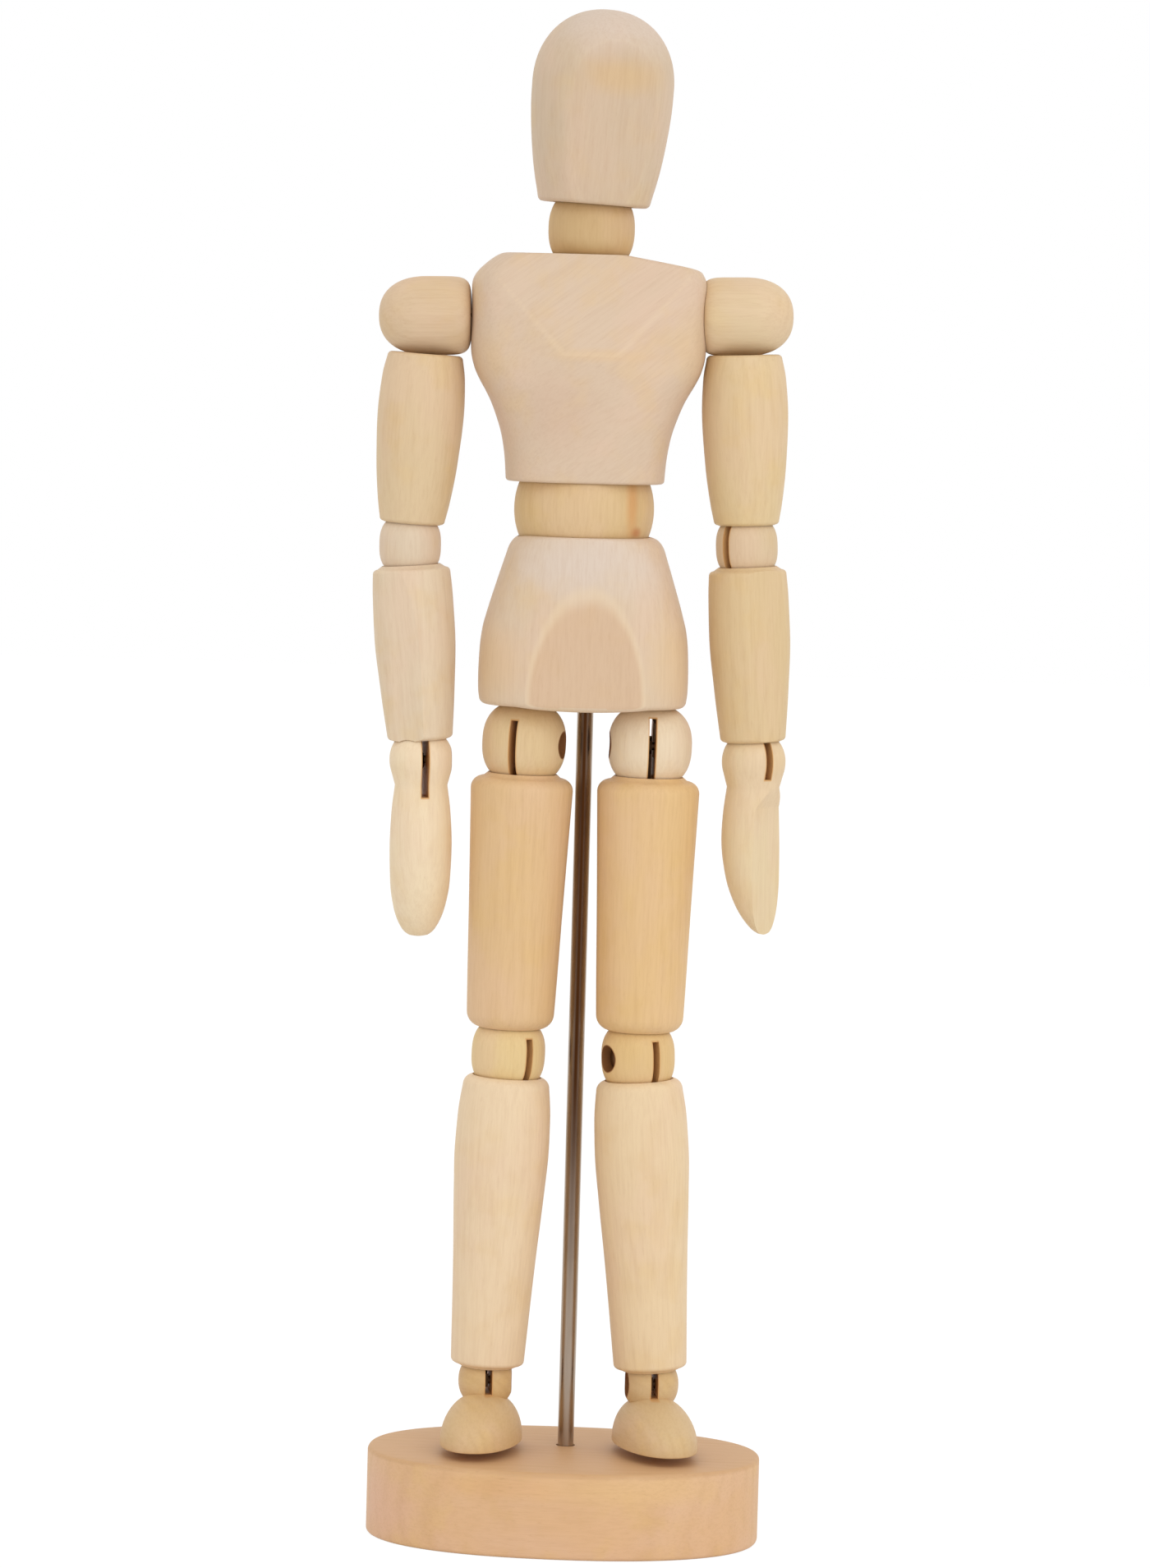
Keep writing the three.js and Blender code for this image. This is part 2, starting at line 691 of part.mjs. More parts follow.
function limbProfile(sizes) {
  const { span, topGap, bottomGap, top, middle, bottom, middleShare, topEdge, bottomEdge } = sizes;
  const start = -span + bottomGap;
  const length = span - bottomGap - topGap;
  const curve = new THREE.SplineCurve([
    new THREE.Vector2(bottom / 2, start + bottomEdge),
    new THREE.Vector2((bottom + middle) / 4 + 0.15, start + length * (middleShare / 2)),
    new THREE.Vector2(middle / 2, start + length * middleShare),
    new THREE.Vector2(top / 2, -topGap - topEdge),
  ]);
  const side = curve.getPoints(4).map((point) => [point.x, point.y]);
  const slant = 0.3;
  return [
    [0, start], [bottom / 2 - bottomEdge, start],
    [bottom / 2 - slant * bottomEdge, start + slant * bottomEdge], ...side,
    [top / 2 - slant * topEdge, -topGap - slant * topEdge], [top / 2 - topEdge, -topGap], [0, -topGap],
  ];
}

function makeLimb(sizes, flats = []) {
  const blank = turned(limbProfile(sizes), limbSides);
  const bore = cylinder(boreRadius, -sizes.span, 0);
  const upper = turned(ballProfile(sizes.upperSeat, sizes.upperSeat, 2), limbSides);
  const lower = turned(ballProfile(sizes.lowerSeat, sizes.lowerSeat, 2), limbSides).translate(0, 0, -sizes.span);
  return carve(blank, [bore, upper, lower, ...flats]);
}

// The flat on the outer side of a forearm, deeper towards the wrist.
function forearmFlat(arm) {
  const outwards = facing(0, arm.sign * forearmFlatTurn);
  const start = outwards.multiplyScalar(arm.forearmFlatDepth).setZ(-forearmTopGap);
  return beyond(start, facing(-arm.forearmFlatTilt, arm.sign * forearmFlatTurn));
}

const upperArmSizes = {
  span: upperArmSpan, topGap: upperArmTopGap, bottomGap: upperArmBottomGap, top: upperArmTopDiameter,
  middle: upperArmDiameter, bottom: upperArmBottomDiameter, middleShare: 0.66, topEdge: upperArmTopEdge,
  bottomEdge: limbEdge * 0.6, upperSeat: shoulderOuterReach + clearance,
  lowerSeat: sweptRadius(elbowRadius, elbowPower) + clearance,
};
const forearmSizes = {
  span: forearmSpan, topGap: forearmTopGap, bottomGap: forearmBottomGap, top: forearmTopDiameter,
  middle: forearmDiameter, bottom: forearmBottomDiameter, middleShare: 0.62, topEdge: limbEdge * 0.7,
  bottomEdge: limbEdge * 0.7, upperSeat: sweptRadius(elbowRadius, elbowPower) + clearance,
  lowerSeat: sweptRadius(wristRadius, wristPower) + clearance,
};
const thighSizes = {
  span: thighSpan, topGap: thighTopGap, bottomGap: thighBottomGap, top: thighTopDiameter,
  middle: (thighTopDiameter + thighBottomDiameter) / 2, bottom: thighBottomDiameter, middleShare: 0.5,
  topEdge: thighTopEdge, bottomEdge: thighBottomEdge, upperSeat: sweptRadius(hipRadius, hipPower) + clearance,
  lowerSeat: sweptRadius(kneeRadius, kneePower) + clearance,
};
const shinSizes = {
  span: shinSpan, topGap: shinTopGap, bottomGap: shinBottomGap, top: shinTopDiameter, middle: shinDiameter,
  bottom: shinBottomDiameter, middleShare: 0.72, topEdge: limbEdge, bottomEdge: limbEdge * 0.6,
  upperSeat: sweptRadius(kneeRadius, kneePower) + clearance,
  lowerSeat: sweptRadius(ankleRadius, anklePower) + clearance,
};

// The shoulder ball lies along X, with its slot open below and on its outer side.
function makeShoulderBall(arm) {
  const reach = 2 * shoulderOuterReach;
  const slotTop = linkWidth / 2 + clearance + 0.7;
  const slot = new THREE.BoxGeometry(reach, kerfWidth, reach);
  slot.translate(arm.sign * (reach / 2 - shoulderKerfBack), 0, slotTop - reach / 2);
  const pocketEnd = eyeRadius + wireRadius + clearance;
  const pocket = alongX(cylinder(pocketRadius, -pocketEnd, reach), -arm.sign);
  const holes = pinHoles(shoulderBallRadius, 1).map((hole) => hole.rotateZ(Math.PI / 2));
  return carve(shoulderBody(arm, 0), [slot, pocket, ...holes]);
}

// The flat of a palm, at -Y: steep where it leaves the wrist, then straight down.
function palmCut() {
  const start = new THREE.Vector3(0, -handNeckRadius, -handNeckDrop);
  const flat = new THREE.Vector3(0, -palmDepth, -handNeckDrop);
  return common(beyond(start, facing(-palmStartTilt, 0)), beyond(flat, facing(0, 0)));
}

// The lower end of a hand curls towards its palm.
function curled(geometry, length) {
  const points = geometry.getAttribute('position');
  for (let i = 0; i < points.count; i += 1) {
    const share = Math.max(0, -points.getZ(i) - handCurlDrop) / (length - handCurlDrop);
    points.setY(i, points.getY(i) - handCurl * share * share);
  }
  return geometry;
}

function makeHand(arm) {
  const length = arm.handLength;
  const profile = ballProfile(wristRadius, wristRadius, wristPower, 10).filter(([, z]) => z > -handNeckDrop * 0.55);
  const curve = new THREE.SplineCurve([
    new THREE.Vector2(0.01, -length), new THREE.Vector2(handRadius * 0.5, -length + 1.9),
    new THREE.Vector2(handRadius * 0.86, -length + 7), new THREE.Vector2(handRadius, -handRadiusDrop),
    new THREE.Vector2(handRadius * 0.93, -handRadiusDrop + 5.5), new THREE.Vector2(handNeckRadius, -handNeckDrop),
  ]);
  const leaf = curve.getPoints(6).map((point) => [point.x, point.y]);
  leaf[0] = [0, -length];
  const blank = curled(turned([...leaf, ...profile], limbSides), length).rotateZ(radians(arm.palmTurn));
  return carve(blank, [
    palmCut().rotateZ(radians(arm.palmTurn)), kerf(wristRadius, -arm.handKerfDepth, wristRadius + 2),
    ...pinHoles(wristRadius, arm.wristPinSide),
  ]);
}

function makeFoot(leg) {
  const controls = [];
  for (let angle = -88; angle <= 88; angle += 22) {
    const [along, across] = [Math.sin(radians(angle)), Math.cos(radians(angle))];
    const reach = along < 0 ? footBallReach : footLength - footBallReach;
    const rise = along < 0 ? Math.pow(across, 0.7) : Math.pow(across, 0.85) * (1 - 0.12 * along);
    const width = footWidth * Math.pow(across, 0.9);
    controls.push([width / 2, footHeight * rise, footBallReach - footHeelReach + reach * along]);
  }
  const shoe = shapedBlock(controls, 8, footPower, limbSides + 2).rotateX(Math.PI / 2).translate(0, 0, -footSoleDrop);
  const sole = beyond(new THREE.Vector3(0, 0, -footSoleDrop), new THREE.Vector3(0, 0, -1));
  const body = carve(shoe, [sole]).rotateX(radians(footPitch)).rotateZ(radians(leg.footTurn - leg.ankleTurn));
  const ankle = turned(ballProfile(ankleRadius, ankleRadius, anklePower), limbSides);
  return carve(join(body, ankle), [
    kerf(ankleRadius, -2.2, ankleRadius + 2), ...pinHoles(ankleRadius, leg.anklePinSide),
  ]);
}

// Assembly

const figure = new THREE.Group();

function addPiece(parent, name, geometry, material, position = [0, 0, 0], lean = 0, turn = 0) {
  const mesh = new THREE.Mesh(geometry, material);
  mesh.name = name;
  mesh.position.set(...position);
  mesh.rotation.set(0, radians(lean), radians(turn));
  parent.add(mesh);
  return mesh;
}

function addGroup(parent, position, lean = 0, turn = 0) {
  const group = new THREE.Group();
  group.position.set(...position);
  group.rotation.set(0, radians(lean), radians(turn));
  parent.add(group);
  return group;
}

function addLeg(parent, leg) {
  const hip = addGroup(parent, hipPlace(leg), leg.lean);
  const kneeAt = [0, 0, -thighSpan];
  addPiece(hip, `${leg.side}_hip_ball`, middleBall(hipRadius, hipPower, leg.hipKerfTop, leg.hipPinSide),
    paleWood, [0, 0, 0], 0, leg.hipTurn);
  addPiece(hip, `${leg.side}_hip_pin`, jointPin(hipRadius, leg.hipPinSide), steel, [0, 0, 0], 0, leg.hipTurn);
  addPiece(hip, `${leg.side}_hip_spring`, anchorSpring(hipDrop, -leg.hipPinSide), steel, [0, 0, 0], 0, leg.hipTurn);
  addPiece(hip, `${leg.side}_thigh_link`, jointLink(thighTopGap), steel, [0, 0, 0], 0, leg.hipTurn);
  addPiece(hip, `${leg.side}_thigh`, makeLimb(thighSizes), honeyWood);
  addPiece(hip, `${leg.side}_thigh_spring`, limbSpring(thighSpan, thighTopGap, -leg.kneePinSide), steel,
    [0, 0, 0], 0, leg.kneeTurn);
  const barrelLean = (leg.shinLean - leg.lean) / 2;
  addPiece(hip, `${leg.side}_knee_barrel`, middleBall(kneeRadius, kneePower, kneeKerfTop, leg.kneePinSide),
    creamWood, kneeAt, barrelLean, leg.kneeTurn);
  addPiece(hip, `${leg.side}_knee_pin`, jointPin(kneeRadius, leg.kneePinSide), steel, kneeAt, barrelLean,
    leg.kneeTurn);

  const knee = addGroup(hip, kneeAt, leg.shinLean - leg.lean);
  const ankleAt = [0, 0, -shinSpan];
  addPiece(knee, `${leg.side}_shin_link`, jointLink(shinTopGap), steel, [0, 0, 0], 0, leg.kneeTurn);
  addPiece(knee, `${leg.side}_shin`, makeLimb(shinSizes), creamWood);
  addPiece(knee, `${leg.side}_shin_spring`, limbSpring(shinSpan, shinTopGap, 0), steel,
    [0, 0, 0], 0, leg.ankleTurn);
  addPiece(knee, `${leg.side}_foot`, makeFoot(leg), creamWood, ankleAt, -leg.shinLean, leg.ankleTurn);
  addPiece(knee, `${leg.side}_ankle_pin`, jointPin(ankleRadius, leg.anklePinSide), steel, ankleAt, -leg.shinLean,
    leg.ankleTurn);
}

function addArm(parent, arm) {
  const shoulder = addGroup(parent, [arm.sign * shoulderSpread, 0, 0]);
  const elbowAt = [0, 0, -upperArmSpan];
  addPiece(shoulder, `${arm.side}_shoulder_ball`, makeShoulderBall(arm), creamWood);
  addPiece(shoulder, `${arm.side}_shoulder_pin`, jointPin(shoulderBallRadius, 1).rotateZ(Math.PI / 2), steel);

  const upper = addGroup(shoulder, [0, 0, 0], arm.lean - shoulderLean);
  addPiece(upper, `${arm.side}_upper_arm_link`, jointLink(upperArmSizes.upperSeat), steel, [0, 0, 0], 0, 90);
  addPiece(upper, `${arm.side}_upper_arm`, makeLimb(upperArmSizes), creamWood);
  addPiece(upper, `${arm.side}_upper_arm_spring`,
    limbSpring(upperArmSpan, upperArmSizes.upperSeat, -arm.elbowPinSide), steel, [0, 0, 0], 0, arm.elbowTurn);
  const barrelLean = (arm.forearmLean - arm.lean) / 2;
  addPiece(upper, `${arm.side}_elbow_barrel`, middleBall(elbowRadius, elbowPower, elbowKerfTop, arm.elbowPinSide),
    paleWood, elbowAt, barrelLean, arm.elbowTurn);
  addPiece(upper, `${arm.side}_elbow_pin`, jointPin(elbowRadius, arm.elbowPinSide), steel, elbowAt, barrelLean,
    arm.elbowTurn);

  const elbow = addGroup(upper, elbowAt, arm.forearmLean - arm.lean);
  const wristAt = [0, 0, -forearmSpan];
  addPiece(elbow, `${arm.side}_forearm_link`, jointLink(forearmTopGap), steel, [0, 0, 0], 0, arm.elbowTurn);
  addPiece(elbow, `${arm.side}_forearm`, makeLimb(forearmSizes, [forearmFlat(arm)]), creamWood);
  addPiece(elbow, `${arm.side}_forearm_spring`, limbSpring(forearmSpan, forearmTopGap, 0), steel,
    [0, 0, 0], 0, arm.wristTurn);
  const handLean = arm.handLean - arm.forearmLean;
  addPiece(elbow, `${arm.side}_hand`, makeHand(arm), creamWood, wristAt, handLean, arm.wristTurn);
  addPiece(elbow, `${arm.side}_wrist_pin`, jointPin(wristRadius, arm.wristPinSide), steel, wristAt, handLean,
    arm.wristTurn);
}

const stand = addGroup(figure, [0, 0, 0], 0, baseTurn);
addPiece(stand, 'base', makeBase(), baseWood);
addPiece(stand, 'support_rod', makeRod(), steel, [0, rodSetback, 0]);

const rodAt = new THREE.Vector3(0, rodSetback, 0).applyAxisAngle(new THREE.Vector3(0, 0, 1), radians(baseTurn));
const hips = addGroup(figure, [rodAt.x - rodOffsetX, rodAt.y - rodOffsetY, pelvisBottomHeight]);
addPiece(hips, 'pelvis', makePelvis(), paleWood);
for (const leg of legs) addLeg(hips, leg);

const waist = addGroup(hips, [torsoOffset, 0, waistHeight - pelvisBottomHeight]);
addPiece(waist, 'waist_ball', makeWaistBall(), creamWood);
addPiece(waist, 'waist_spring', straightSpring(waistSpringReach, 5), steel);

const torso = addGroup(hips, [torsoOffset, 0, chestBottomHeight - pelvisBottomHeight]);
addPiece(torso, 'chest', makeChest(), paleWood);
const shoulders = addGroup(torso, shoulderLine, shoulderLean);
addPiece(shoulders, 'shoulder_spring', crossSpring(shoulderSpread, shoulderCoilReach), steel);
for (const arm of arms) addArm(shoulders, arm);

const neck = addGroup(torso, [0, 0, neckHeight - chestBottomHeight]);
addPiece(neck, 'neck_ball', makeNeckBall(), creamWood);
addPiece(neck, 'neck_spring', straightSpring(neckSpringReach, 4), steel);
const headGroup = addGroup(neck, [0, 0, 0], headLean, headTurn);
addPiece(headGroup, 'head', makeHead(), paleWood, [0, 0, neckGap / 2]);

export default figure;
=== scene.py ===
"""Looks of a jointed wooden drawing figure on an oval foot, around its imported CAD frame.

Each piece is modelled in millimetres in its own frame, with its grain along Z, and is then placed
by the joints of the frame. Left and right are the figure's own, and the figure faces -Y.
"""

import json
import math

import bmesh
import bpy
import numpy as np
from mathutils import Matrix, Vector


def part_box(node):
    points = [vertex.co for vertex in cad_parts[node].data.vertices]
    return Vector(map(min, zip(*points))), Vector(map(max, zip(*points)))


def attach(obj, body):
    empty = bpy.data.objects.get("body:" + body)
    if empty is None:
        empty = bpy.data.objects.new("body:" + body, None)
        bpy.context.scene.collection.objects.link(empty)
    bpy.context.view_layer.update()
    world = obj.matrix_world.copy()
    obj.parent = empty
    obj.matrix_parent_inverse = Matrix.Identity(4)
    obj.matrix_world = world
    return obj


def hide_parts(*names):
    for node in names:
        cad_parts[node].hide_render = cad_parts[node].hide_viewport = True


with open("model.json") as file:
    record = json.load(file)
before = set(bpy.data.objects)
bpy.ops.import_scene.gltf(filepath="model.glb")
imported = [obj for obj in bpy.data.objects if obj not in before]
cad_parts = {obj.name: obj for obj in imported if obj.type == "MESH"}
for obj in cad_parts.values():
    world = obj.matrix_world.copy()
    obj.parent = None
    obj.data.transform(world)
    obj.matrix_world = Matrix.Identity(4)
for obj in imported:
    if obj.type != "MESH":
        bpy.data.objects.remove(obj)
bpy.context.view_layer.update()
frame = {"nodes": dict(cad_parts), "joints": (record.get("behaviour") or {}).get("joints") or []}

scene = bpy.context.scene
MM = 0.001
radians = math.radians
QUARTER_TURN = Matrix.Rotation(math.pi / 2, 4, "Z")
joints = {joint["name"]: joint for joint in frame["joints"]}

# Sizes in millimetres

SHARP_ANGLE = 38
CLEARANCE = 0.3
SHOULDER_CLEARANCE = 0.1
KERF_WIDTH = 1.4
BORE_RADIUS = 2.9
PIN_RADIUS = 0.8
PIN_HEAD_RADIUS = 2.2
PIN_HEAD_THICKNESS = 0.8
PIN_HEAD_RIM = 0.25
PIN_HOLE_RADIUS = 2.6
PIN_HEAD_DEPTH = 1.7
PIN_REACH_SHARE = 0.8
POCKET_RADIUS = 3.0
POCKET_BOTTOM = -2.4

BASE_SIZE = (78, 53.7, 17.1)
BASE_POWER = 2.25
BASE_EDGE = 0.8
ROD_RADIUS = 1.6
ROD_CHAMFER = 0.4
ROD_SETBACK = 5.4
ROD_DEPTH_IN_BASE = 12
ROD_DEPTH_IN_PELVIS = 17

WAIST_BALL = {"radius": 13.8, "power": 2.05}
NECK_BALL = {"radius": 8.5, "power": 2.4}
WAIST_GAP = 10.6
NECK_GAP = 9.8
TORSO_OFFSET = -0.7
SPRING_BORE = 3.2
WAIST_SPRING_DEPTH = 13
NECK_SPRING_DEPTH = 7
HIP_SPRING_BORE = 1.0
HIP_SPRING_DEPTH = 12
SHOULDER_SPRING_REACH = 24

PELVIS_HEIGHT = 33.5
PELVIS_TOP_DEPTH = 28
CHEST_HEIGHT = 44.7
CHEST_WAIST_DEPTH = 28
HEAD_HEIGHT = 38.2
HEAD_TURN = 12

SHOULDER_BALL = {"radius": 7.75, "inner": 8.4, "inner_power": 6, "outer": 9.8, "outer_power": 2.35}
HIP = {"radius": 8.3, "power": 2.45}
KNEE = {"radius": 7.3, "power": 2.6}
ANKLE = {"radius": 5.5, "power": 2.2}
ELBOW = {"radius": 6.1, "power": 2.7}
WRIST = {"radius": 6.3, "power": 2.1}
SHOULDER_SEAT_RADIUS = 10.1
SHOULDER_KERF_TOP = 2.3
KNEE_KERF_TOP = 3.6
ANKLE_KERF_BOTTOM = -2.2
ELBOW_KERF_TOP = 4.7

HAND_NECK_RADIUS = 5.2
HAND_NECK_DROP = 5
HAND_RADIUS = 6.15
HAND_RADIUS_DROP = 17
HAND_CURL = 4.2
HAND_CURL_DROP = 12
PALM_DEPTH = 3.3
PALM_START_TILT = 25

FOOT_LENGTH = 30
FOOT_WIDTH = 15.7
FOOT_HEIGHT = 9.4
FOOT_SOLE_DROP = 11.4
FOOT_HEEL_REACH = 10.5
FOOT_BALL_REACH = 14.5
FOOT_POWER = 2.2
FOOT_SOLE_EDGE = 1.4
HEEL_DOME_POWER = 0.7
TOE_DOME_POWER = 0.85
TOE_DROP_SHARE = 0.12
FOOT_SIDE_POWER = 0.9
FOOT_PITCH = 0.6

# What differs from side to side: saw slots, pin sides, flats, hand lengths and the turns of palms and toes

ARMS = [
    {"side": "right", "sign": -1, "elbow_pin": 1, "wrist_pin": 1, "flat": (7.5, 4),
     "hand_length": 35.5, "hand_kerf": 7.2, "palm": -182},
    {"side": "left", "sign": 1, "elbow_pin": -1, "wrist_pin": 1, "flat": (6.9, 1.6),
     "hand_length": 34.2, "hand_kerf": 3.2, "palm": 30},
]
LEGS = [
    {"side": "right", "sign": -1, "toe_turn": -16, "hip_kerf": 4.7, "pin": 1},
    {"side": "left", "sign": 1, "toe_turn": 6, "hip_kerf": 5.8, "pin": -1},
]


# Numbers and curves


def smooth_min(a, b, width):
    """The smaller of two values, rounded over where they are nearly equal."""
    near = np.maximum(width - np.abs(a - b), 0) / width
    return np.minimum(a, b) - near * near * width / 4


def curve_through(points):
    """A smooth curve through (place, value) points that never overshoots them."""
    x, y = np.array(points, float).T
    gap = np.diff(x)
    slope = np.diff(y) / gap
    tangent = np.zeros(len(x))
    for i in range(1, len(x) - 1):
        if slope[i - 1] * slope[i] > 0:
            before = gap[i] + 2 * gap[i - 1]
            after = 2 * gap[i] + gap[i - 1]
            tangent[i] = (before + after) / (after / slope[i - 1] + before / slope[i])
    tangent[0] = slope[0]
    tangent[-1] = slope[-1]

    def value(place):
        place = np.clip(np.asarray(place, float), x[0], x[-1])
        i = np.clip(np.searchsorted(x, place) - 1, 0, len(gap) - 1)
        t = (place - x[i]) / gap[i]
        start = (1 + 2 * t) * (1 - t) ** 2 * y[i] + t * (1 - t) ** 2 * gap[i] * tangent[i]
        end = t * t * (3 - 2 * t) * y[i + 1] + t * t * (t - 1) * gap[i] * tangent[i + 1]
        return start + end

    return value


def arc(centre, size, start, end, steps):
    """Points of an elliptical arc from one angle in degrees to another."""
    angles = np.radians(np.linspace(start, end, steps + 1))
    return [(centre[0] + size[0] * math.cos(a), centre[1] + size[1] * math.sin(a)) for a in angles]


def ball_profile(radius, half_height, power, steps=36):
    """Half outline of a ball that is fuller than a sphere when its power is over 2."""
    profile = []
    for angle in np.linspace(-math.pi / 2, math.pi / 2, steps + 1):
        share = math.copysign(abs(math.sin(angle)) ** (2 / power), angle)
        profile.append((radius * max(0.0, math.cos(angle)) ** (2 / power), half_height * share))
    profile[0] = (0, -half_height)
    profile[-1] = (0, half_height)
    return profile


def swept_radius(ball):
    """How far a ball reaches from its middle, whichever way it is turned."""
    return ball["radius"] * 2 ** (0.5 - 1 / ball["power"])


def facing(tilt, turn):
    """A direction facing forwards, tilted up and turned towards +X."""
    up, side = radians(tilt), radians(turn)
    return np.array([math.sin(side) * math.cos(up), -math.cos(side) * math.cos(up), math.sin(up)])


# Meshes


def link_object(name, data):
    thing = bpy.data.objects.new(name, data)
    scene.collection.objects.link(thing)
    return thing


def new_object(name, points, faces):
    mesh = bpy.data.meshes.new(name)
    mesh.from_pydata((np.array(points, float) * MM).tolist(), [], faces)
    shell = bmesh.new()
    shell.from_mesh(mesh)
    bmesh.ops.recalc_face_normals(shell, faces=shell.faces)
    shell.to_mesh(mesh)
    shell.free()
    return link_object(name, mesh)


def skin(name, rings, looped=False):
    """A closed skin over rings of points. A ring of one point is a tip."""
    points = []
    starts = []
    for ring in rings:
        starts.append(len(points))
        points.extend(ring)
    faces = []
    pairs = list(zip(range(len(rings) - 1), range(1, len(rings))))
    if looped:
        pairs.append((len(rings) - 1, 0))
    for a, b in pairs:
        count = max(len(rings[a]), len(rings[b]))
        for i in range(count):
            steps = [(a, i), (b, i), (b, (i + 1) % count), (a, (i + 1) % count)]
            corners = [starts[ring] + step % len(rings[ring]) for ring, step in steps]
            faces.append(list(dict.fromkeys(corners)))
    return new_object(name, points, faces)


def turned(name, profile, sides=96, looped=False):
    """A turned solid about Z, from (radius, height) points."""
    angles = np.linspace(0, 2 * math.pi, sides, endpoint=False)
    rings = []
    for radius, height in profile:
        if radius < 1e-6:
            rings.append([(0, 0, height)])
        else:
            rings.append([(radius * math.cos(a), radius * math.sin(a), height) for a in angles])
    return skin(name, rings, looped)


def block(name, levels, reach, sides=144, cap_steps=8):
    """A solid with a free outline at each level. reach(angles, height) gives the radii."""
    angles = np.linspace(0, 2 * math.pi, sides, endpoint=False)
    rings = []
    for height in levels:
        radii = reach(angles, height)
        x, y = radii * np.cos(angles), radii * np.sin(angles)
        rings.append(np.column_stack([x, y, np.full(sides, height)]))
    inner = np.linspace(0, 1, cap_steps, endpoint=False)[1:]
    bottom = [rings[0] * (share, share, 1) for share in inner]
    top = [rings[-1] * (share, share, 1) for share in reversed(inner)]
    return skin(name, [[(0, 0, levels[0])]] + bottom + rings + top + [[(0, 0, levels[-1])]])


def oval(angles, half_width, half_depth, power):
    """Radii of a rounded rectangle at the given angles."""
    across = np.abs(np.cos(angles) / half_width) ** power
    along = np.abs(np.sin(angles) / half_depth) ** power
    return (across + along) ** (-1 / power)


def edge_inset(into, edge):
    """How far an outline draws in at some way into a rounded edge."""
    return edge - math.sqrt(max(0.0, edge ** 2 - into ** 2)) if into > 0 else 0.0


def end_inset(z, height, bottom_edge, top_edge):
    """How far the outline draws in near the rounded ends of a block."""
    return edge_inset(bottom_edge - z, bottom_edge) + edge_inset(z - (height - top_edge), top_edge)


def rounded_levels(height, bottom_edge, top_edge, steps, bottom_steps=7, top_steps=7):
    """Heights with close rows round the ends of a block."""
    low = [bottom_edge * (1 - math.cos(a)) for a in np.linspace(0, math.pi / 2, bottom_steps)]
    high = [height - top_edge * (1 - math.cos(a)) for a in np.linspace(math.pi / 2, 0, top_steps)]
    return low + list(np.linspace(bottom_edge, height - top_edge, steps))[1:-1] + high


def plane_reach(angles, height, point, normal):
    """How far out a plane lies at the given angles, or far away where it faces elsewhere."""
    towards = normal[0] * np.cos(angles) + normal[1] * np.sin(angles)
    distance = float(np.dot(normal, point)) - normal[2] * height
    return np.where(towards > 1e-3, distance / np.maximum(towards, 1e-3), 1e3)


# Cutters reach a millimetre or two past the faces that they cut.


def box(size, centre):
    x, y, z = [value / 2 for value in size]
    corners = [(i * x + centre[0], j * y + centre[1], k * z + centre[2])
               for i in (-1, 1) for j in (-1, 1) for k in (-1, 1)]
    faces = [(0, 1, 3, 2), (4, 6, 7, 5), (0, 4, 5, 1), (2, 3, 7, 6), (0, 2, 6, 4), (1, 5, 7, 3)]
    return new_object("cutter", corners, faces)


def cylinder(radius, start, end, sides=48):
    return turned("cutter", [(0, start), (radius, start), (radius, end), (0, end)], sides)


def moved(thing, matrix):
    thing.data.transform(matrix)
    return thing


def shift(x, y, z):
    return Matrix.Translation(Vector((x, y, z)) * MM)


def along_x(thing, side=1):
    return moved(thing, Matrix.Rotation(side * math.pi / 2, 4, "Y"))


def ball_seat(ball):
    """A round cutter in which the ball can turn any way."""
    size = swept_radius(ball) + CLEARANCE
    return turned("cutter", ball_profile(size, size, 2), 96)


def combine(thing, tools, operation="DIFFERENCE"):
    """Cuts the tools out of a solid, or joins them to it, and uses them up."""
    for tool in tools:
        cut = thing.modifiers.new("cut", "BOOLEAN")
        cut.operation = operation
        cut.solver = "MANIFOLD"
        cut.object = tool
    bpy.context.view_layer.update()
    shown = thing.evaluated_get(bpy.context.evaluated_depsgraph_get())
    mesh = bpy.data.meshes.new_from_object(shown)
    thing.modifiers.clear()
    thing.data = mesh
    for tool in tools:
        bpy.data.objects.remove(tool)
    return thing


def finish_mesh(thing, edge=None):
    """Stores the piece's own coordinates and creases for its material, and rounds its shading."""
    mesh = thing.data
    points = np.zeros(len(mesh.vertices) * 3, np.float32)
    mesh.vertices.foreach_get("co", points)
    points = points / MM
    grain = mesh.attributes.new("grain", "FLOAT_VECTOR", "POINT")
    grain.data.foreach_set("vector", points)
    if edge:
        values = edge(points.reshape(-1, 3)).astype(np.float32)
        mesh.attributes.new("crease", "FLOAT", "POINT").data.foreach_set("value", values)
    mesh.shade_smooth()
    mesh.set_sharp_from_angle(angle=radians(SHARP_ANGLE))


# Places in the frame


def point_of(name):
    return Vector(joints[name]["pos_m"])


def axis_of(name):
    return Vector(joints[name]["axis"]).normalized()


def placed(point, up=None, across=Vector((1, 0, 0))):
    """The place of a piece: its middle, its upward direction and the way its X axis points."""
    if up is None:
        up = across.cross(Vector((0, 1, 0)))
    z = up.normalized()
    x = (across - across.dot(z) * z).normalized()
    y = z.cross(x)
    matrix = Matrix((x, y, z)).transposed().to_4x4()
    matrix.translation = point
    return matrix


def add_piece(thing, node, body, matrix, material, edge=None):
    finish_mesh(thing, edge)
    thing.name = node + "_look"
    thing.data.name = thing.name
    thing.matrix_world = matrix
    thing.data.materials.clear()
    thing.data.materials.append(material)
    bpy.context.view_layer.update()
    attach(thing, body)
    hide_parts(node)
    return thing


# Shader nodes


def mixed(a, b, share):
    return tuple(p + (q - p) * share for p, q in zip(a, b))


def linear(colour):
    """A colour given as 0 to 255 screen values, as light."""
    shares = [channel / 255 for channel in colour]
    return tuple(s / 12.92 if s <= 0.04045 else ((s + 0.055) / 1.055) ** 2.4 for s in shares) + (1.0,)


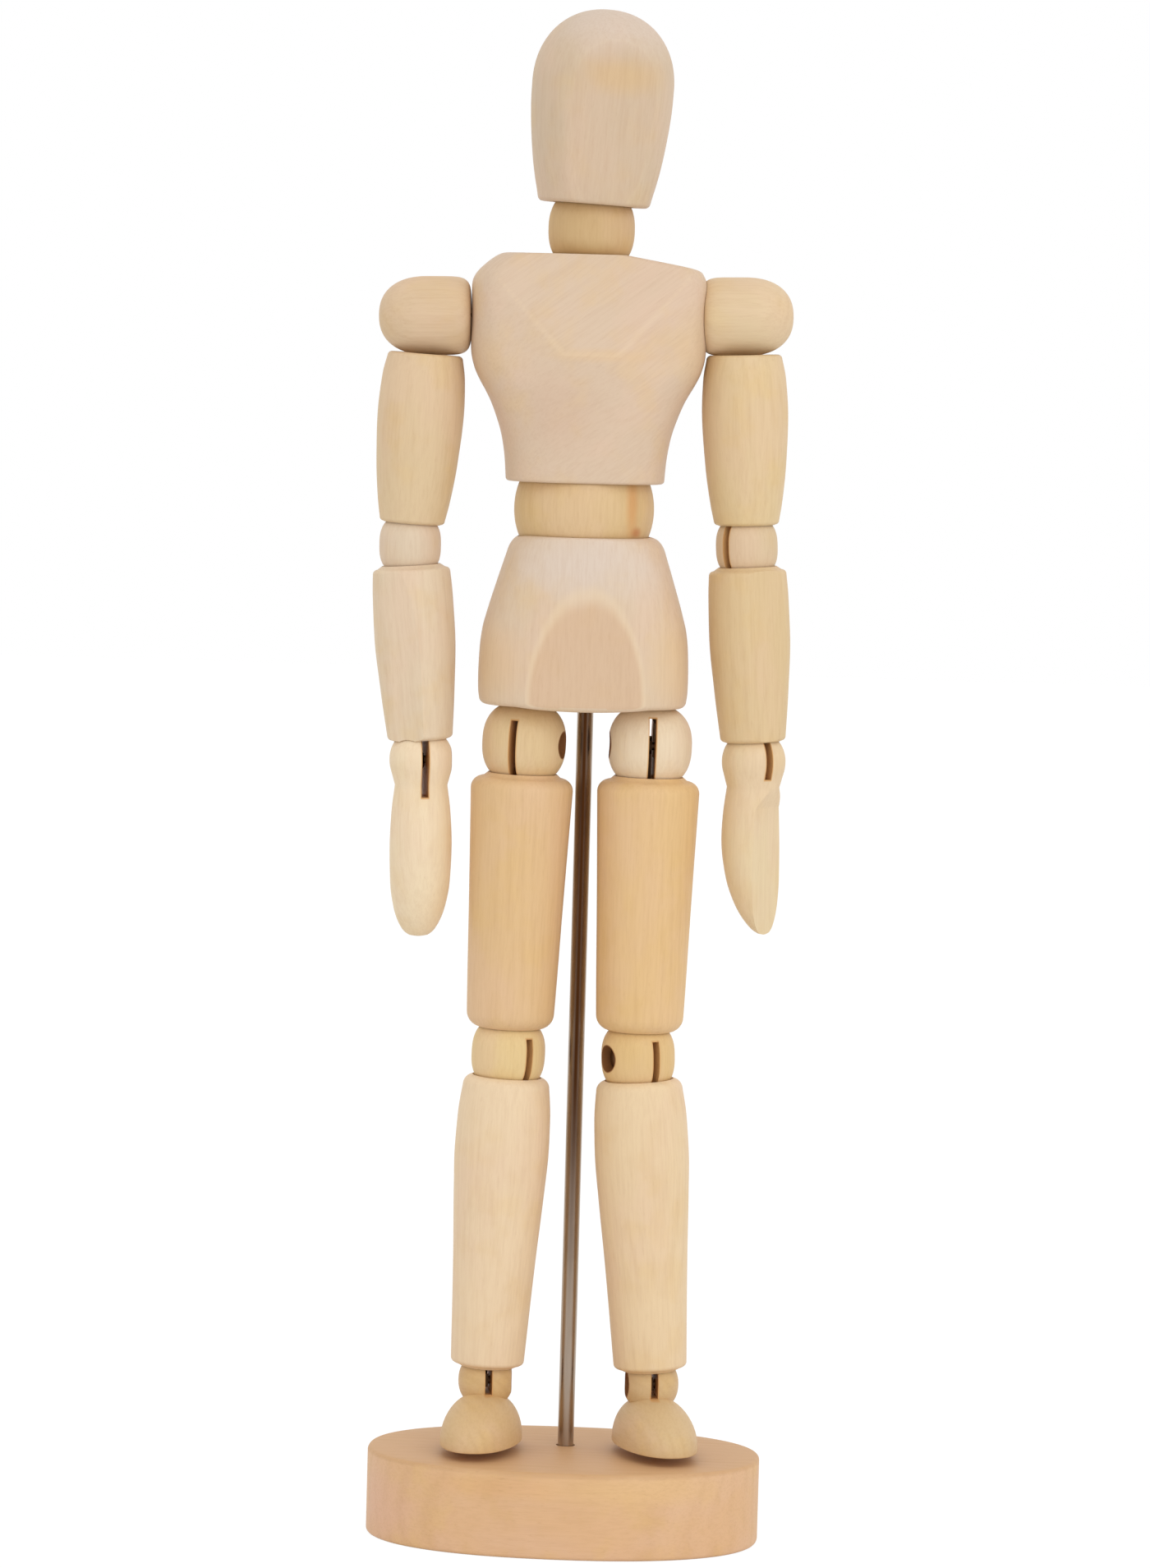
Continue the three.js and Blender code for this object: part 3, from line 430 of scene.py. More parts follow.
class Sheet:
    """The node tree of a material or of the world, with short ways to add nodes."""

    def __init__(self, owner, output="OutputMaterial", surface="BsdfPrincipled"):
        owner.use_nodes = True
        self.tree = owner.node_tree
        self.tree.nodes.clear()
        self.surface = self.node(surface)
        self.output = self.node(output, {"Surface": self.surface.outputs[0]})

    def put(self, value, socket):
        if isinstance(value, bpy.types.NodeSocket):
            self.tree.links.new(value, socket)
        else:
            socket.default_value = value

    def node(self, kind, inputs=None, **settings):
        """A new node with its settings, and its inputs filled in by name or number."""
        made = self.tree.nodes.new("ShaderNode" + kind)
        for name, value in settings.items():
            setattr(made, name, value)
        for socket, value in (inputs or {}).items():
            self.put(value, made.inputs[socket])
        return made

    def attribute(self, name, output="Vector"):
        return self.node("Attribute", attribute_name=name).outputs[output]

    def math(self, operation, a, b=0.0, clamp=False):
        return self.node("Math", {0: a, 1: b}, operation=operation, use_clamp=clamp).outputs[0]

    def plus(self, a, b, clamp=False):
        return self.math("ADD", a, b, clamp)

    def times(self, a, b, clamp=False):
        return self.math("MULTIPLY", a, b, clamp)

    def vector(self, operation, a, b=(0, 0, 0)):
        made = self.node("VectorMath", {0: a, 1: b}, operation=operation)
        return made.outputs["Value" if operation == "LENGTH" else "Vector"]

    def parts(self, vector):
        return self.node("SeparateXYZ", {0: vector}).outputs

    def noise(self, vector, stretch, scale, detail=2.0, roughness=0.5):
        vector = self.vector("MULTIPLY", vector, stretch)
        inputs = {"Vector": vector, "Scale": scale, "Detail": detail, "Roughness": roughness}
        return self.node("TexNoise", inputs).outputs[0]

    def ramp(self, value, low, high, start=0.0, end=1.0):
        """A soft step from start to end as the value goes from low to high."""
        if low > high:
            low, high, start, end = high, low, end, start
        inputs = {"Value": value, "From Min": low, "From Max": high, "To Min": start, "To Max": end}
        return self.node("MapRange", inputs, interpolation_type="SMOOTHSTEP").outputs[0]

    def blend(self, share, a, b, kind="MIX"):
        return self.node("Mix", {0: share, 6: a, 7: b}, data_type="RGBA", blend_type=kind).outputs[2]

    def bump(self, height, strength, distance):
        return self.node("Bump", {"Strength": strength, "Distance": distance, "Height": height}).outputs[0]

    def seen_directly(self):
        """1 for rays from the camera, in reflections and through glass, and 0 for the light on things."""
        rays = self.node("LightPath").outputs
        near = self.plus(rays["Is Camera Ray"], rays["Is Glossy Ray"])
        return self.plus(near, rays["Is Transmission Ray"], clamp=True)

    def show_instead(self, share, shader):
        """Mixes another shader over the surface by a share."""
        mix = self.node("MixShader", {0: share, 1: self.surface.outputs[0], 2: shader.outputs[0]})
        self.put(mix.outputs[0], self.output.inputs["Surface"])

    def give_surface(self, inputs):
        for name, value in inputs.items():
            self.put(value, self.surface.inputs[name])


# Materials

PINK_TINT = (232, 196, 172)
YELLOW_TINT = (228, 190, 120)
# saw burn, darkened further as painted shade inside the slots
BURN_AND_SHADE = (214, 166, 108)
# painted shade inside pin holes
PAINTED_HOLE_SHADE = (150, 100, 58)
# painted highlight along creases
CREASE_HIGHLIGHT = (250, 228, 190)
LINE_SHADE = (150, 96, 48)
SEED_STEPS = (7.3, 3.1, 11.7)
RING_DRIFT = 0.07
RING_BEND = 16.0


def grain_place(sheet, place, grain_turn, seed):
    """The piece's coordinates with the grain along Z, moved to its own part of the timber."""
    if grain_turn:
        inputs = {"Vector": place, "Rotation": [radians(angle) for angle in grain_turn]}
        place = sheet.node("VectorRotate", inputs, rotation_type="EULER_XYZ").outputs[0]
    return sheet.vector("ADD", place, [seed * step for step in SEED_STEPS])


def ring_lines(sheet, along, seed, pith, spacing):
    """Growth rings about a pith, bent a little by slow noise and drifting along the grain."""
    x, y, z = sheet.parts(along)
    bend = sheet.noise(along, (1, 1, 0.35), 0.045)
    sideways = sheet.plus(x, -(pith[0] + seed * SEED_STEPS[0]))
    sideways = sheet.math("POWER", sheet.plus(sideways, sheet.times(z, RING_DRIFT)), 2.0)
    forwards = sheet.math("POWER", sheet.plus(y, -(pith[1] + seed * SEED_STEPS[1])), 2.0)
    from_pith = sheet.math("SQRT", sheet.plus(sideways, forwards))
    phase = sheet.plus(sheet.times(from_pith, 2 * math.pi / spacing), sheet.times(bend, RING_BEND))
    wave = sheet.plus(sheet.times(sheet.math("SINE", phase), 0.5), 0.5)
    return sheet.math("POWER", wave, 2.0)


def add_stains_and_painted_light(sheet, place, patch, tint, stains):
    """Soft patches of colour, each given by its middle, size, colour and share: stain, and on the head and
    chest also painted shade.
    """
    for centre, size, colour, share in stains:
        away = sheet.vector("LENGTH", sheet.vector("DIVIDE", sheet.vector("SUBTRACT", place, centre), size))
        reach = sheet.plus(away, sheet.times(patch, 0.7))
        tint = sheet.blend(sheet.ramp(reach, 1.55, 0.55, 0.0, share), tint, linear(colour))
    return tint


def sawn_edges(sheet, place, tint, kerf):
    """A burnt tint on the edges of a saw slot that runs from one height to another, dark enough to paint the
    slot's shade too.
    """
    low, high = kerf
    across, _, up = sheet.parts(place)
    inside = sheet.ramp(sheet.math("ABSOLUTE", across), KERF_WIDTH / 2 + 0.32, KERF_WIDTH / 2 + 0.04)
    inside = sheet.times(inside, sheet.ramp(up, high + 0.45, high + 0.1))
    inside = sheet.times(inside, sheet.ramp(up, low - 0.45, low - 0.1))
    return sheet.blend(inside, tint, linear(BURN_AND_SHADE))


def shaded_hole_wall(sheet, place, tint, hole):
    """A dark tint inside a pin hole: painted shade."""
    side, floor = hole
    out = sheet.vector("LENGTH", sheet.vector("MULTIPLY", place, (0, 1, 1)))
    near = sheet.ramp(out, PIN_HOLE_RADIUS + 0.3, PIN_HOLE_RADIUS + 0.05)
    deep = sheet.ramp(sheet.times(sheet.parts(place)[0], float(side)), floor - 0.6, floor - 0.2)
    return sheet.blend(sheet.times(near, deep), tint, linear(PAINTED_HOLE_SHADE))


def wood(name, colour, seed, warm=0.25, rings=0.5, pith=(-26, -17), spacing=2.1, grain_turn=None,
         stains=(), kerf=None, hole=None, fleck=0.5, crease=0.0, flat=None):
    """Fine pale wood with rings, fibres and flecks along its grain.

    It can have patches of stain and painted shade, painted highlights along its creases, a flat of its own
    colour, a saw slot with a burnt tint that also paints its shade, and a pin hole with painted shade.
    """
    material = bpy.data.materials.new(name)
    sheet = Sheet(material)
    place = sheet.attribute("grain")
    along = grain_place(sheet, place, grain_turn, seed)
    ring = ring_lines(sheet, along, seed, pith, spacing)
    fibre = sheet.noise(along, (1, 1, 0.045), 1.9, 4, 0.62)
    hair = sheet.noise(along, (1, 1, 0.06), 6.0)
    spot = sheet.ramp(sheet.noise(along, (1, 1, 0.16), 3.1, 2, 0.4), 0.60, 0.76)
    cloud = sheet.noise(along, (1, 1, 0.5), 0.075, 3, 0.55)
    patch = sheet.noise(sheet.vector("ADD", along, (31.0, 7.0, 13.0)), (1, 1, 1), 0.11, 3, 0.55)

    # broad changes of colour
    pinker, yellower = mixed(colour, PINK_TINT, 0.5), mixed(colour, YELLOW_TINT, 0.6)
    tint = sheet.blend(sheet.ramp(cloud, 0.42, 0.68, 0.0, 0.55), linear(colour), linear(pinker))
    tint = sheet.blend(sheet.ramp(patch, 0.46, 0.72, 0.0, warm), tint, linear(yellower))
    if flat:
        inside = sheet.ramp(sheet.attribute("crease", "Fac"), 0.15, -0.25, 0.0, flat[1])
        tint = sheet.blend(inside, tint, linear(flat[0]))
    # patches of stain, and on the head and chest painted shade
    tint = add_stains_and_painted_light(sheet, place, patch, tint, stains)

    # fine dark lines
    dark = sheet.times(sheet.ramp(fibre, 0.38, 0.70), 0.05)
    ring = sheet.times(ring, sheet.ramp(patch, 0.38, 0.62, 0.25, 1.0))
    dark = sheet.plus(dark, sheet.times(ring, 0.045 * rings))
    dark = sheet.plus(dark, sheet.times(sheet.math("SUBTRACT", hair, 0.5), 0.05))
    dark = sheet.plus(dark, sheet.times(spot, 0.07 * fleck))
    tint = sheet.blend(sheet.times(dark, 2.1, clamp=True), tint, linear(mixed(colour, LINE_SHADE, 0.62)))

    # painted highlight along the creases between flats, where sanded edges catch the light
    if crease:
        away = sheet.math("ABSOLUTE", sheet.attribute("crease", "Fac"))
        tint = sheet.blend(sheet.ramp(away, 0.35, 0.0, 0.0, crease), tint, linear(mixed(colour, CREASE_HIGHLIGHT, 0.6)))
    # burnt tint and painted shade in the saw slot
    if kerf:
        tint = sawn_edges(sheet, place, tint, kerf)
    # painted shade inside the pin hole
    if hole:
        tint = shaded_hole_wall(sheet, place, tint, hole)

    rough = sheet.plus(sheet.times(fibre, 0.16), 0.46)
    height = sheet.plus(sheet.times(fibre, 0.6), sheet.times(hair, 0.4))
    height = sheet.math("SUBTRACT", height, sheet.times(spot, 0.25))
    sheet.give_surface({"Base Color": tint, "Roughness": rough, "Specular IOR Level": 0.35,
                        "Normal": sheet.bump(height, 0.35, 0.00006)})
    return material


def drawn_steel(name, colour, roughness, painted_reflection=None):
    """Drawn steel with fine lines, and a painted reflection: a dark band down the middle that fades out
    towards its foot.
    """
    material = bpy.data.materials.new(name)
    sheet = Sheet(material)
    place = sheet.attribute("grain")
    lines = sheet.noise(place, (5.0, 5.0, 0.04), 1.0, 3, 0.6)
    stain = sheet.noise(place, (0.3, 0.3, 0.06), 1.0, 3, 0.6)
    tint = linear(colour)
    # painted reflection of dark surroundings down the middle of the rod, fading out towards its foot
    if painted_reflection:
        across, _, up = sheet.parts(place)
        middle = sheet.ramp(sheet.math("ABSOLUTE", across), 1.35, 0.1)
        tint = sheet.blend(middle, tint, linear(painted_reflection))
        tint = sheet.blend(sheet.ramp(up, 95.0, 30.0, 0.0, 0.8), tint, linear(colour))
    darker = sheet.blend(1.0, tint, (0.72, 0.68, 0.64, 1), "MULTIPLY")
    tint = sheet.blend(sheet.ramp(stain, 0.4, 0.75, 0.0, 0.5), tint, darker)
    rough = sheet.plus(sheet.times(lines, 0.18), roughness)
    sheet.give_surface({"Base Color": tint, "Metallic": 1.0, "Roughness": rough,
                        "Normal": sheet.bump(lines, 0.25, 0.00003)})
    return material


# Foot and rod


def make_base():
    half_x, half_y, height = BASE_SIZE[0] / 2, BASE_SIZE[1] / 2, BASE_SIZE[2]

    def reach(angles, z):
        return oval(angles, half_x, half_y, BASE_POWER) - end_inset(z, height, BASE_EDGE, BASE_EDGE)

    body = block("base", rounded_levels(height, BASE_EDGE, BASE_EDGE, 12, 6, 6), reach, 192)
    hole = moved(cylinder(ROD_RADIUS + CLEARANCE, height - ROD_DEPTH_IN_BASE - CLEARANCE, height + 1),
                 shift(0, ROD_SETBACK, 0))
    return combine(body, [hole])


def make_rod(bottom, top):
    narrow = ROD_RADIUS - ROD_CHAMFER
    side = [(ROD_RADIUS, z) for z in np.linspace(bottom + ROD_CHAMFER, top - ROD_CHAMFER, 40)]
    return turned("rod", [(0, bottom), (narrow, bottom)] + side + [(narrow, top), (0, top)], 64)


# Blocks of the body, each with its bottom face at Z 0

PELVIS_WIDTHS = [
    (0, 20.3), (3.2, 20.7), (5.4, 20.75), (10.7, 20.6), (14.6, 20.2), (18.5, 19.25), (22.4, 18.1),
    (26.3, 16.9), (29.6, 15.85), (31, 15.4), (32, 14.9), (32.8, 14.2), (33.5, 13.2),
]
PELVIS_DEPTHS = [(0, 14.7), (9, 15), (20, 14.8), (29, 14.3), (PELVIS_HEIGHT, PELVIS_TOP_DEPTH / 2)]
PELVIS_FACET_HEIGHT = 22
PELVIS_FACET_DEPTH = 14.7
PELVIS_FACET_TILT = 4
PELVIS_FACET_TURN = 1
PELVIS_POWER = 2.5
PELVIS_BOTTOM_EDGE = 1.1
PELVIS_BULGE_DROP = 0.7
PELVIS_BULGE_REACH = 13
PELVIS_BULGE_HEIGHT = 5
PELVIS_TOP_EDGE = 0.7
PELVIS_SOFTNESS = 0.5
FAR_FROM_CREASE = 9.0
CREASE_DEPTH = 1.2


def pelvis_facet():
    point = np.array([0, -PELVIS_FACET_DEPTH, PELVIS_FACET_HEIGHT])
    return point, facing(-PELVIS_FACET_TILT, PELVIS_FACET_TURN)


def pelvis_outline(angles, z, widths=curve_through(PELVIS_WIDTHS), depths=curve_through(PELVIS_DEPTHS)):
    inset = end_inset(z, PELVIS_HEIGHT, PELVIS_BOTTOM_EDGE, PELVIS_TOP_EDGE)
    return oval(angles, widths(z) - inset, depths(z) - inset, PELVIS_POWER)


def pelvis_reach(angles, z):
    point, normal = pelvis_facet()
    inset = end_inset(z, PELVIS_HEIGHT, PELVIS_BOTTOM_EDGE, PELVIS_TOP_EDGE)
    flat = plane_reach(angles, z, point, normal) - inset
    return smooth_min(pelvis_outline(angles, z), flat, PELVIS_SOFTNESS)


def crease_of(planes, outline=None, above=0.0):
    """Distance in millimetres from the creases between flats, or below zero inside the flat of an outline."""
    def edge(points):
        values = np.full(len(points), FAR_FROM_CREASE)
        angles = np.arctan2(points[:, 1], points[:, 0])
        for i, (angle, z) in enumerate(zip(angles, points[:, 2])):
            reaches = [float(plane_reach(np.array([angle]), z, *plane)[0]) for plane in planes]
            first = reaches[0]
            if outline:
                reaches.append(float(outline(np.array([angle]), z)[0]))
            reaches.sort()
            here = math.hypot(points[i, 0], points[i, 1])
            if here > reaches[0] - CREASE_DEPTH and z > above:
                inside = outline and first == reaches[0]
                values[i] = (reaches[0] - reaches[1]) * (1 if inside else -1)
        return values
    return edge


def make_pelvis(hip_places, rod_offset):
    levels = rounded_levels(PELVIS_HEIGHT, PELVIS_BOTTOM_EDGE, PELVIS_TOP_EDGE, 56)
    body = block("pelvis", levels, pelvis_reach, 160)
    for vertex in body.data.vertices:
        across = max(0.0, 1 - (vertex.co.x / MM / PELVIS_BULGE_REACH) ** 2)
        low = max(0.0, 1 - vertex.co.z / MM / PELVIS_BULGE_HEIGHT)
        vertex.co.z -= PELVIS_BULGE_DROP * across * low * MM
    tools = [
        moved(ball_seat(WAIST_BALL), shift(TORSO_OFFSET, 0, PELVIS_HEIGHT + WAIST_GAP / 2)),
        moved(cylinder(SPRING_BORE, PELVIS_HEIGHT - WAIST_SPRING_DEPTH, PELVIS_HEIGHT + 1),
              shift(TORSO_OFFSET, 0, 0)),
        moved(cylinder(ROD_RADIUS + CLEARANCE, -1, ROD_DEPTH_IN_PELVIS + CLEARANCE), shift(*rod_offset, 0)),
    ]
    for centre, up in hip_places:
        tools.append(moved(ball_seat(HIP), shift(*centre)))
        bore = cylinder(HIP_SPRING_BORE, 0, HIP_SPRING_DEPTH, 24)
        tools.append(moved(bore, placed(Vector(centre) * MM, up)))
    return combine(body, tools)


CHEST_WIDTHS = [
    (0, 15.6), (4.3, 15.92), (8.1, 16.5), (10, 16.95), (12, 17.6), (13.9, 18.3), (15.8, 19.1),
    (17.7, 20.1), (19.6, 21.2), (22.1, 22.35), (25.1, 23.05), (28.6, 23.2), (37.6, 23.2),
]
CHEST_DEPTHS = [(0, 14), (6, 14.5), (13, 15), (20, 15.4), (26, 15.7), (CHEST_HEIGHT, 15.7)]
CHEST_CORNER = (7.1, 6.9)
CHEST_BROW = (5.9, 9.0)
CHEST_POWER = 2.7
CHEST_TURN = 2
CHEST_EDGE = 0.6
CHEST_TOP_EDGE = 0.01
PECTORAL_HEIGHT = 25
PECTORAL_DEPTH = 15.2
BREAST_TILT = 17
COLLAR_TILT = 4
COLLAR_TURN = 14.4
COLLAR_DEPTH = 16
SHOULDER_SLOPE = 9.5
SHOULDER_SLOPE_START = 7
RIGHT_CORNER_TILT = 38
RIGHT_CORNER_REACH = 46.3
CHEST_SOFTNESS = 0.8
SLOPE_SOFTNESS = 3.0
RIGHT_CORNER_SOFTNESS = 2.0


def chest_planes():
    pectoral = np.array([0, -PECTORAL_DEPTH, PECTORAL_HEIGHT])
    lean = math.degrees(math.atan((PECTORAL_DEPTH - CHEST_WAIST_DEPTH / 2 + 0.1) / PECTORAL_HEIGHT))
    planes = [(pectoral, facing(-lean, CHEST_TURN)), (pectoral, facing(BREAST_TILT, CHEST_TURN))]
    for sign in (-1, 1):
        normal = facing(COLLAR_TILT, CHEST_TURN + sign * COLLAR_TURN)
        planes.append((normal * COLLAR_DEPTH + np.array([0, 0, PECTORAL_HEIGHT]), normal))
    return planes


def drawn_in(z, rounding):
    """How far the top of the chest draws in by a rounding of a given reach and height."""
    reach, height = rounding
    rise = max(0.0, z - (CHEST_HEIGHT - height)) / height
    return reach * (1 - math.sqrt(max(0.0, 1 - rise ** 2)))


def chest_outline(angles, z, widths=curve_through(CHEST_WIDTHS), depths=curve_through(CHEST_DEPTHS)):
    inset = end_inset(z, CHEST_HEIGHT, CHEST_EDGE, CHEST_TOP_EDGE)
    width = widths(z) - drawn_in(z, CHEST_CORNER) - inset
    depth = depths(z) - drawn_in(z, CHEST_BROW) - inset
    return oval(angles, width, depth, CHEST_POWER)


def chest_reach(angles, z):
    radii = chest_outline(angles, z)
    inset = end_inset(z, CHEST_HEIGHT, CHEST_EDGE, CHEST_TOP_EDGE)
    for plane in chest_planes():
        radii = smooth_min(radii, plane_reach(angles, z, *plane) - inset, CHEST_SOFTNESS)
    slope_start = np.array([SHOULDER_SLOPE_START, 0, CHEST_HEIGHT])
    slope = np.array([math.sin(radians(SHOULDER_SLOPE)), 0, math.cos(radians(SHOULDER_SLOPE))])
    radii = smooth_min(radii, plane_reach(angles, z, slope_start, slope), SLOPE_SOFTNESS)
    tilt = radians(RIGHT_CORNER_TILT)
    corner = np.array([-math.sin(tilt), 0, math.cos(tilt)])
    cut = plane_reach(angles, z, corner * RIGHT_CORNER_REACH, corner)
    return smooth_min(radii, cut, RIGHT_CORNER_SOFTNESS)


def make_chest(shoulders, shoulder_line):
    levels = rounded_levels(CHEST_HEIGHT, CHEST_EDGE, CHEST_CORNER[1], 64, top_steps=22)
    body = block("chest", levels, chest_reach, 176)
    middle = (shoulders[0] + shoulders[1]) / 2
    tools = [
        moved(ball_seat(WAIST_BALL), shift(0, 0, -WAIST_GAP / 2)),
        cylinder(SPRING_BORE, -1, WAIST_SPRING_DEPTH),
        moved(ball_seat(NECK_BALL), shift(0, 0, CHEST_HEIGHT + NECK_GAP / 2)),
        cylinder(SPRING_BORE, CHEST_HEIGHT - NECK_SPRING_DEPTH, CHEST_HEIGHT + 1),
        moved(along_x(cylinder(BORE_RADIUS, -SHOULDER_SPRING_REACH, SHOULDER_SPRING_REACH)),
              placed(middle * MM, across=shoulder_line)),
    ]
    for sign, centre in zip((-1, 1), shoulders):
        socket = shoulder_body(sign, SHOULDER_CLEARANCE)
        tools.append(moved(socket, placed(centre * MM, across=shoulder_line)))
    return combine(body, tools)


HEAD_WIDTHS = [
    (0, 10.8), (2.6, 11.35), (4.5, 11.8), (8.4, 12.55), (12.3, 13.1), (16.1, 13.5), (20, 13.75),
    (23.7, 13.8),
]
HEAD_DEPTHS = [(0, 11.5), (4.6, 12.8), (13, 13.9), (22.2, 14.75), (23.7, 14.75)]
HEAD_POWER = 2.15
CROWN_HEIGHT = 15
CROWN_POWER = 2.15
HEAD_EDGE = 0.8
FACE_DEPTH = 11.4
FACE_HEIGHT = HEAD_HEIGHT * 0.3
FACE_TILT = 3
FACE_EDGE_SHARE = 0.4
FACE_SOFTNESS = 1.6


def head_outline(angles, z, widths=curve_through(HEAD_WIDTHS), depths=curve_through(HEAD_DEPTHS)):
    rise = max(0.0, (z - (HEAD_HEIGHT - CROWN_HEIGHT)) / CROWN_HEIGHT)
    shrink = max(0.0, 1 - rise ** CROWN_POWER) ** (1 / CROWN_POWER)
    inset = edge_inset(HEAD_EDGE - z, HEAD_EDGE)
    return oval(angles, widths(z) * shrink - inset, depths(z) * shrink - inset, HEAD_POWER)


def head_facet():
    return np.array([0, -FACE_DEPTH, FACE_HEIGHT]), facing(-FACE_TILT, 0)


def head_reach(angles, z):
    face = plane_reach(angles, z, *head_facet()) - edge_inset(HEAD_EDGE - z, HEAD_EDGE) * FACE_EDGE_SHARE
    return smooth_min(head_outline(angles, z), face, FACE_SOFTNESS)


def make_head():
    low = [HEAD_EDGE * (1 - math.cos(a)) for a in np.linspace(0, math.pi / 2, 6)]
    middle = list(np.linspace(HEAD_EDGE, HEAD_HEIGHT - CROWN_HEIGHT, 34))[1:-1]
    crown = [HEAD_HEIGHT - CROWN_HEIGHT * (1 - math.sin(a)) for a in np.radians(np.linspace(0, 88, 40))]
    body = block("head", low + middle + crown, head_reach, 144, 4)
    return combine(body, [
        moved(ball_seat(NECK_BALL), shift(0, 0, -NECK_GAP / 2)),
        cylinder(SPRING_BORE, -1, NECK_SPRING_DEPTH),
    ])


def make_bored_ball(ball):
    """A plain ball with a hole along Z for a spring."""
    profile = [point for point in ball_profile(ball["radius"], ball["radius"], ball["power"], 56)
               if point[0] > SPRING_BORE]
    end = profile[-1][1]
    bore = [(SPRING_BORE, z) for z in np.linspace(end, -end, 12)]
    return turned("ball", profile + bore, 112, looped=True)


# Limbs. The upper pin is at the origin and the limb hangs along -Z.

LIMBS = {
    "upper_arm": {
        "span": 45.3, "top_gap": 7.5, "bottom_gap": 4.4, "top_edge": 0.9, "bottom_edge": 0.8,
        "upper_seat": SHOULDER_SEAT_RADIUS, "lower_seat": ELBOW,
        "half_widths": [(0, 6.3), (0.13, 7.1), (0.36, 8.0), (0.66, 8.5), (0.86, 8.15), (1, 7.3)],
    },
    "forearm": {
        "span": 42.5, "top_gap": 4.6, "bottom_gap": 4.1, "top_edge": 0.9, "bottom_edge": 0.9,
        "upper_seat": ELBOW, "lower_seat": WRIST,
        "half_widths": [(0, 6.4), (0.3, 7.35), (0.62, 8.0), (0.85, 7.9), (1, 7.6)],
    },
    "thigh": {
        "span": 61.9, "top_gap": 6.8, "bottom_gap": 5.2, "top_edge": 2.4, "bottom_edge": 3.0,
        "upper_seat": HIP, "lower_seat": KNEE,
        "half_widths": [(0, 8.55), (0.1, 8.75), (0.5, 9.35), (0.8, 9.85), (1, 10.2)],
    },
    "shin": {
        "span": 65.6, "top_gap": 4.5, "bottom_gap": 3.4, "top_edge": 2.1, "bottom_edge": 0.9,
        "upper_seat": KNEE, "lower_seat": ANKLE,
        "half_widths": [(0, 7.25), (0.36, 8.2), (0.6, 9.0), (0.74, 9.35), (0.86, 9.2), (1, 8.35)],
    },
}
FOREARM_FLAT_TURN = 29


def seat_size(seat):
    return swept_radius(seat) + CLEARANCE if isinstance(seat, dict) else seat


def seat_arc(size, rim_point, centre, side):
    """The hollow of a limb's end, from its rim in to the bore."""
    rim = math.atan2(rim_point[0], side * (rim_point[1] - centre))
    bore = math.asin(BORE_RADIUS / size)
    angles = np.linspace(rim, bore, 12)
    return [(size * math.sin(a), centre + side * size * math.cos(a)) for a in angles]


def make_limb(kind, arm=None):
    limb = LIMBS[kind]
    top = -limb["top_gap"]
    bottom = -limb["span"] + limb["bottom_gap"]
    half_width = curve_through(limb["half_widths"])
    low_edge, high_edge = limb["bottom_edge"], limb["top_edge"]

    def radius(z):
        return float(half_width((z - bottom) / (top - bottom)))

    outside = arc((radius(bottom + low_edge) - low_edge, bottom + low_edge), (low_edge, low_edge), -90, 0, 7)
    outside += [(radius(z), z) for z in np.linspace(bottom + low_edge, top - high_edge, 44)[1:-1]]
    outside += arc((radius(top - high_edge) - high_edge, top - high_edge), (high_edge, high_edge), 0, 90, 7)
    upper_size, lower_size = seat_size(limb["upper_seat"]), seat_size(limb["lower_seat"])
    outside = [(r, z) for r, z in outside
               if math.hypot(r, z) > upper_size and math.hypot(r, z + limb["span"]) > lower_size]
    upper = seat_arc(upper_size, outside[-1], 0, -1)
    lower = seat_arc(lower_size, outside[0], -limb["span"], 1)
    bore = [(BORE_RADIUS, z) for z in np.linspace(upper[-1][1], lower[-1][1], 12)][1:-1]
    body = turned(kind, outside + upper + bore + list(reversed(lower)), 96, looped=True)
    if arm:
        body = combine(body, [forearm_flat(arm, top)])
    return body


def forearm_flat(arm, top):
    """A cutter that planes the outer front of a forearm, deeper towards the wrist."""
    depth, tilt = arm["flat"]
    start = Vector(facing(0, arm["sign"] * FOREARM_FLAT_TURN)) * depth
    normal = Vector(facing(-tilt, arm["sign"] * FOREARM_FLAT_TURN))
    start.z = top
    turn = Vector((0, 0, 1)).rotation_difference(normal).to_matrix().to_4x4()
    return moved(moved(box((90, 90, 30), (0, 0, 15)), turn), shift(*start))


# Balls and barrels. The pin lies along X and the saw slot in the YZ plane.


def pin_head_floor(radius):
    return radius - PIN_HEAD_DEPTH - PIN_HEAD_THICKNESS


def pin_holes(radius, side):
    floor = pin_head_floor(radius) - CLEARANCE
    return [
        along_x(cylinder(PIN_RADIUS + 0.25, -radius * PIN_REACH_SHARE - CLEARANCE, floor + 1, 32), side),
        along_x(cylinder(PIN_HOLE_RADIUS, floor, radius + 2), side),
    ]


def kerf(radius, start, end):
    return box((KERF_WIDTH, 2 * radius + 4, end - start), (0, 0, (start + end) / 2))


def make_slotted_ball(ball, kerf_top, side):
    radius = ball["radius"]
    body = turned("ball", ball_profile(radius, radius, ball["power"], 48), 96)
    pocket = cylinder(POCKET_RADIUS, POCKET_BOTTOM, radius + 2)
    return combine(body, [kerf(radius, -radius - 2, kerf_top), pocket] + pin_holes(radius, side))


def shoulder_body(sign, grown):
    """A ball that is blunt towards the chest and rounder outside, with its pin at the origin."""
    size = SHOULDER_BALL
    radius = size["radius"] + grown
    inner = ball_profile(radius, size["inner"] + grown, size["inner_power"], 60)
    outer = ball_profile(radius, size["outer"] + grown, size["outer_power"], 60)
    profile = [point for point in inner if point[1] < -0.01] + [point for point in outer if point[1] >= 0]
    return along_x(turned("ball", profile, 96), sign)


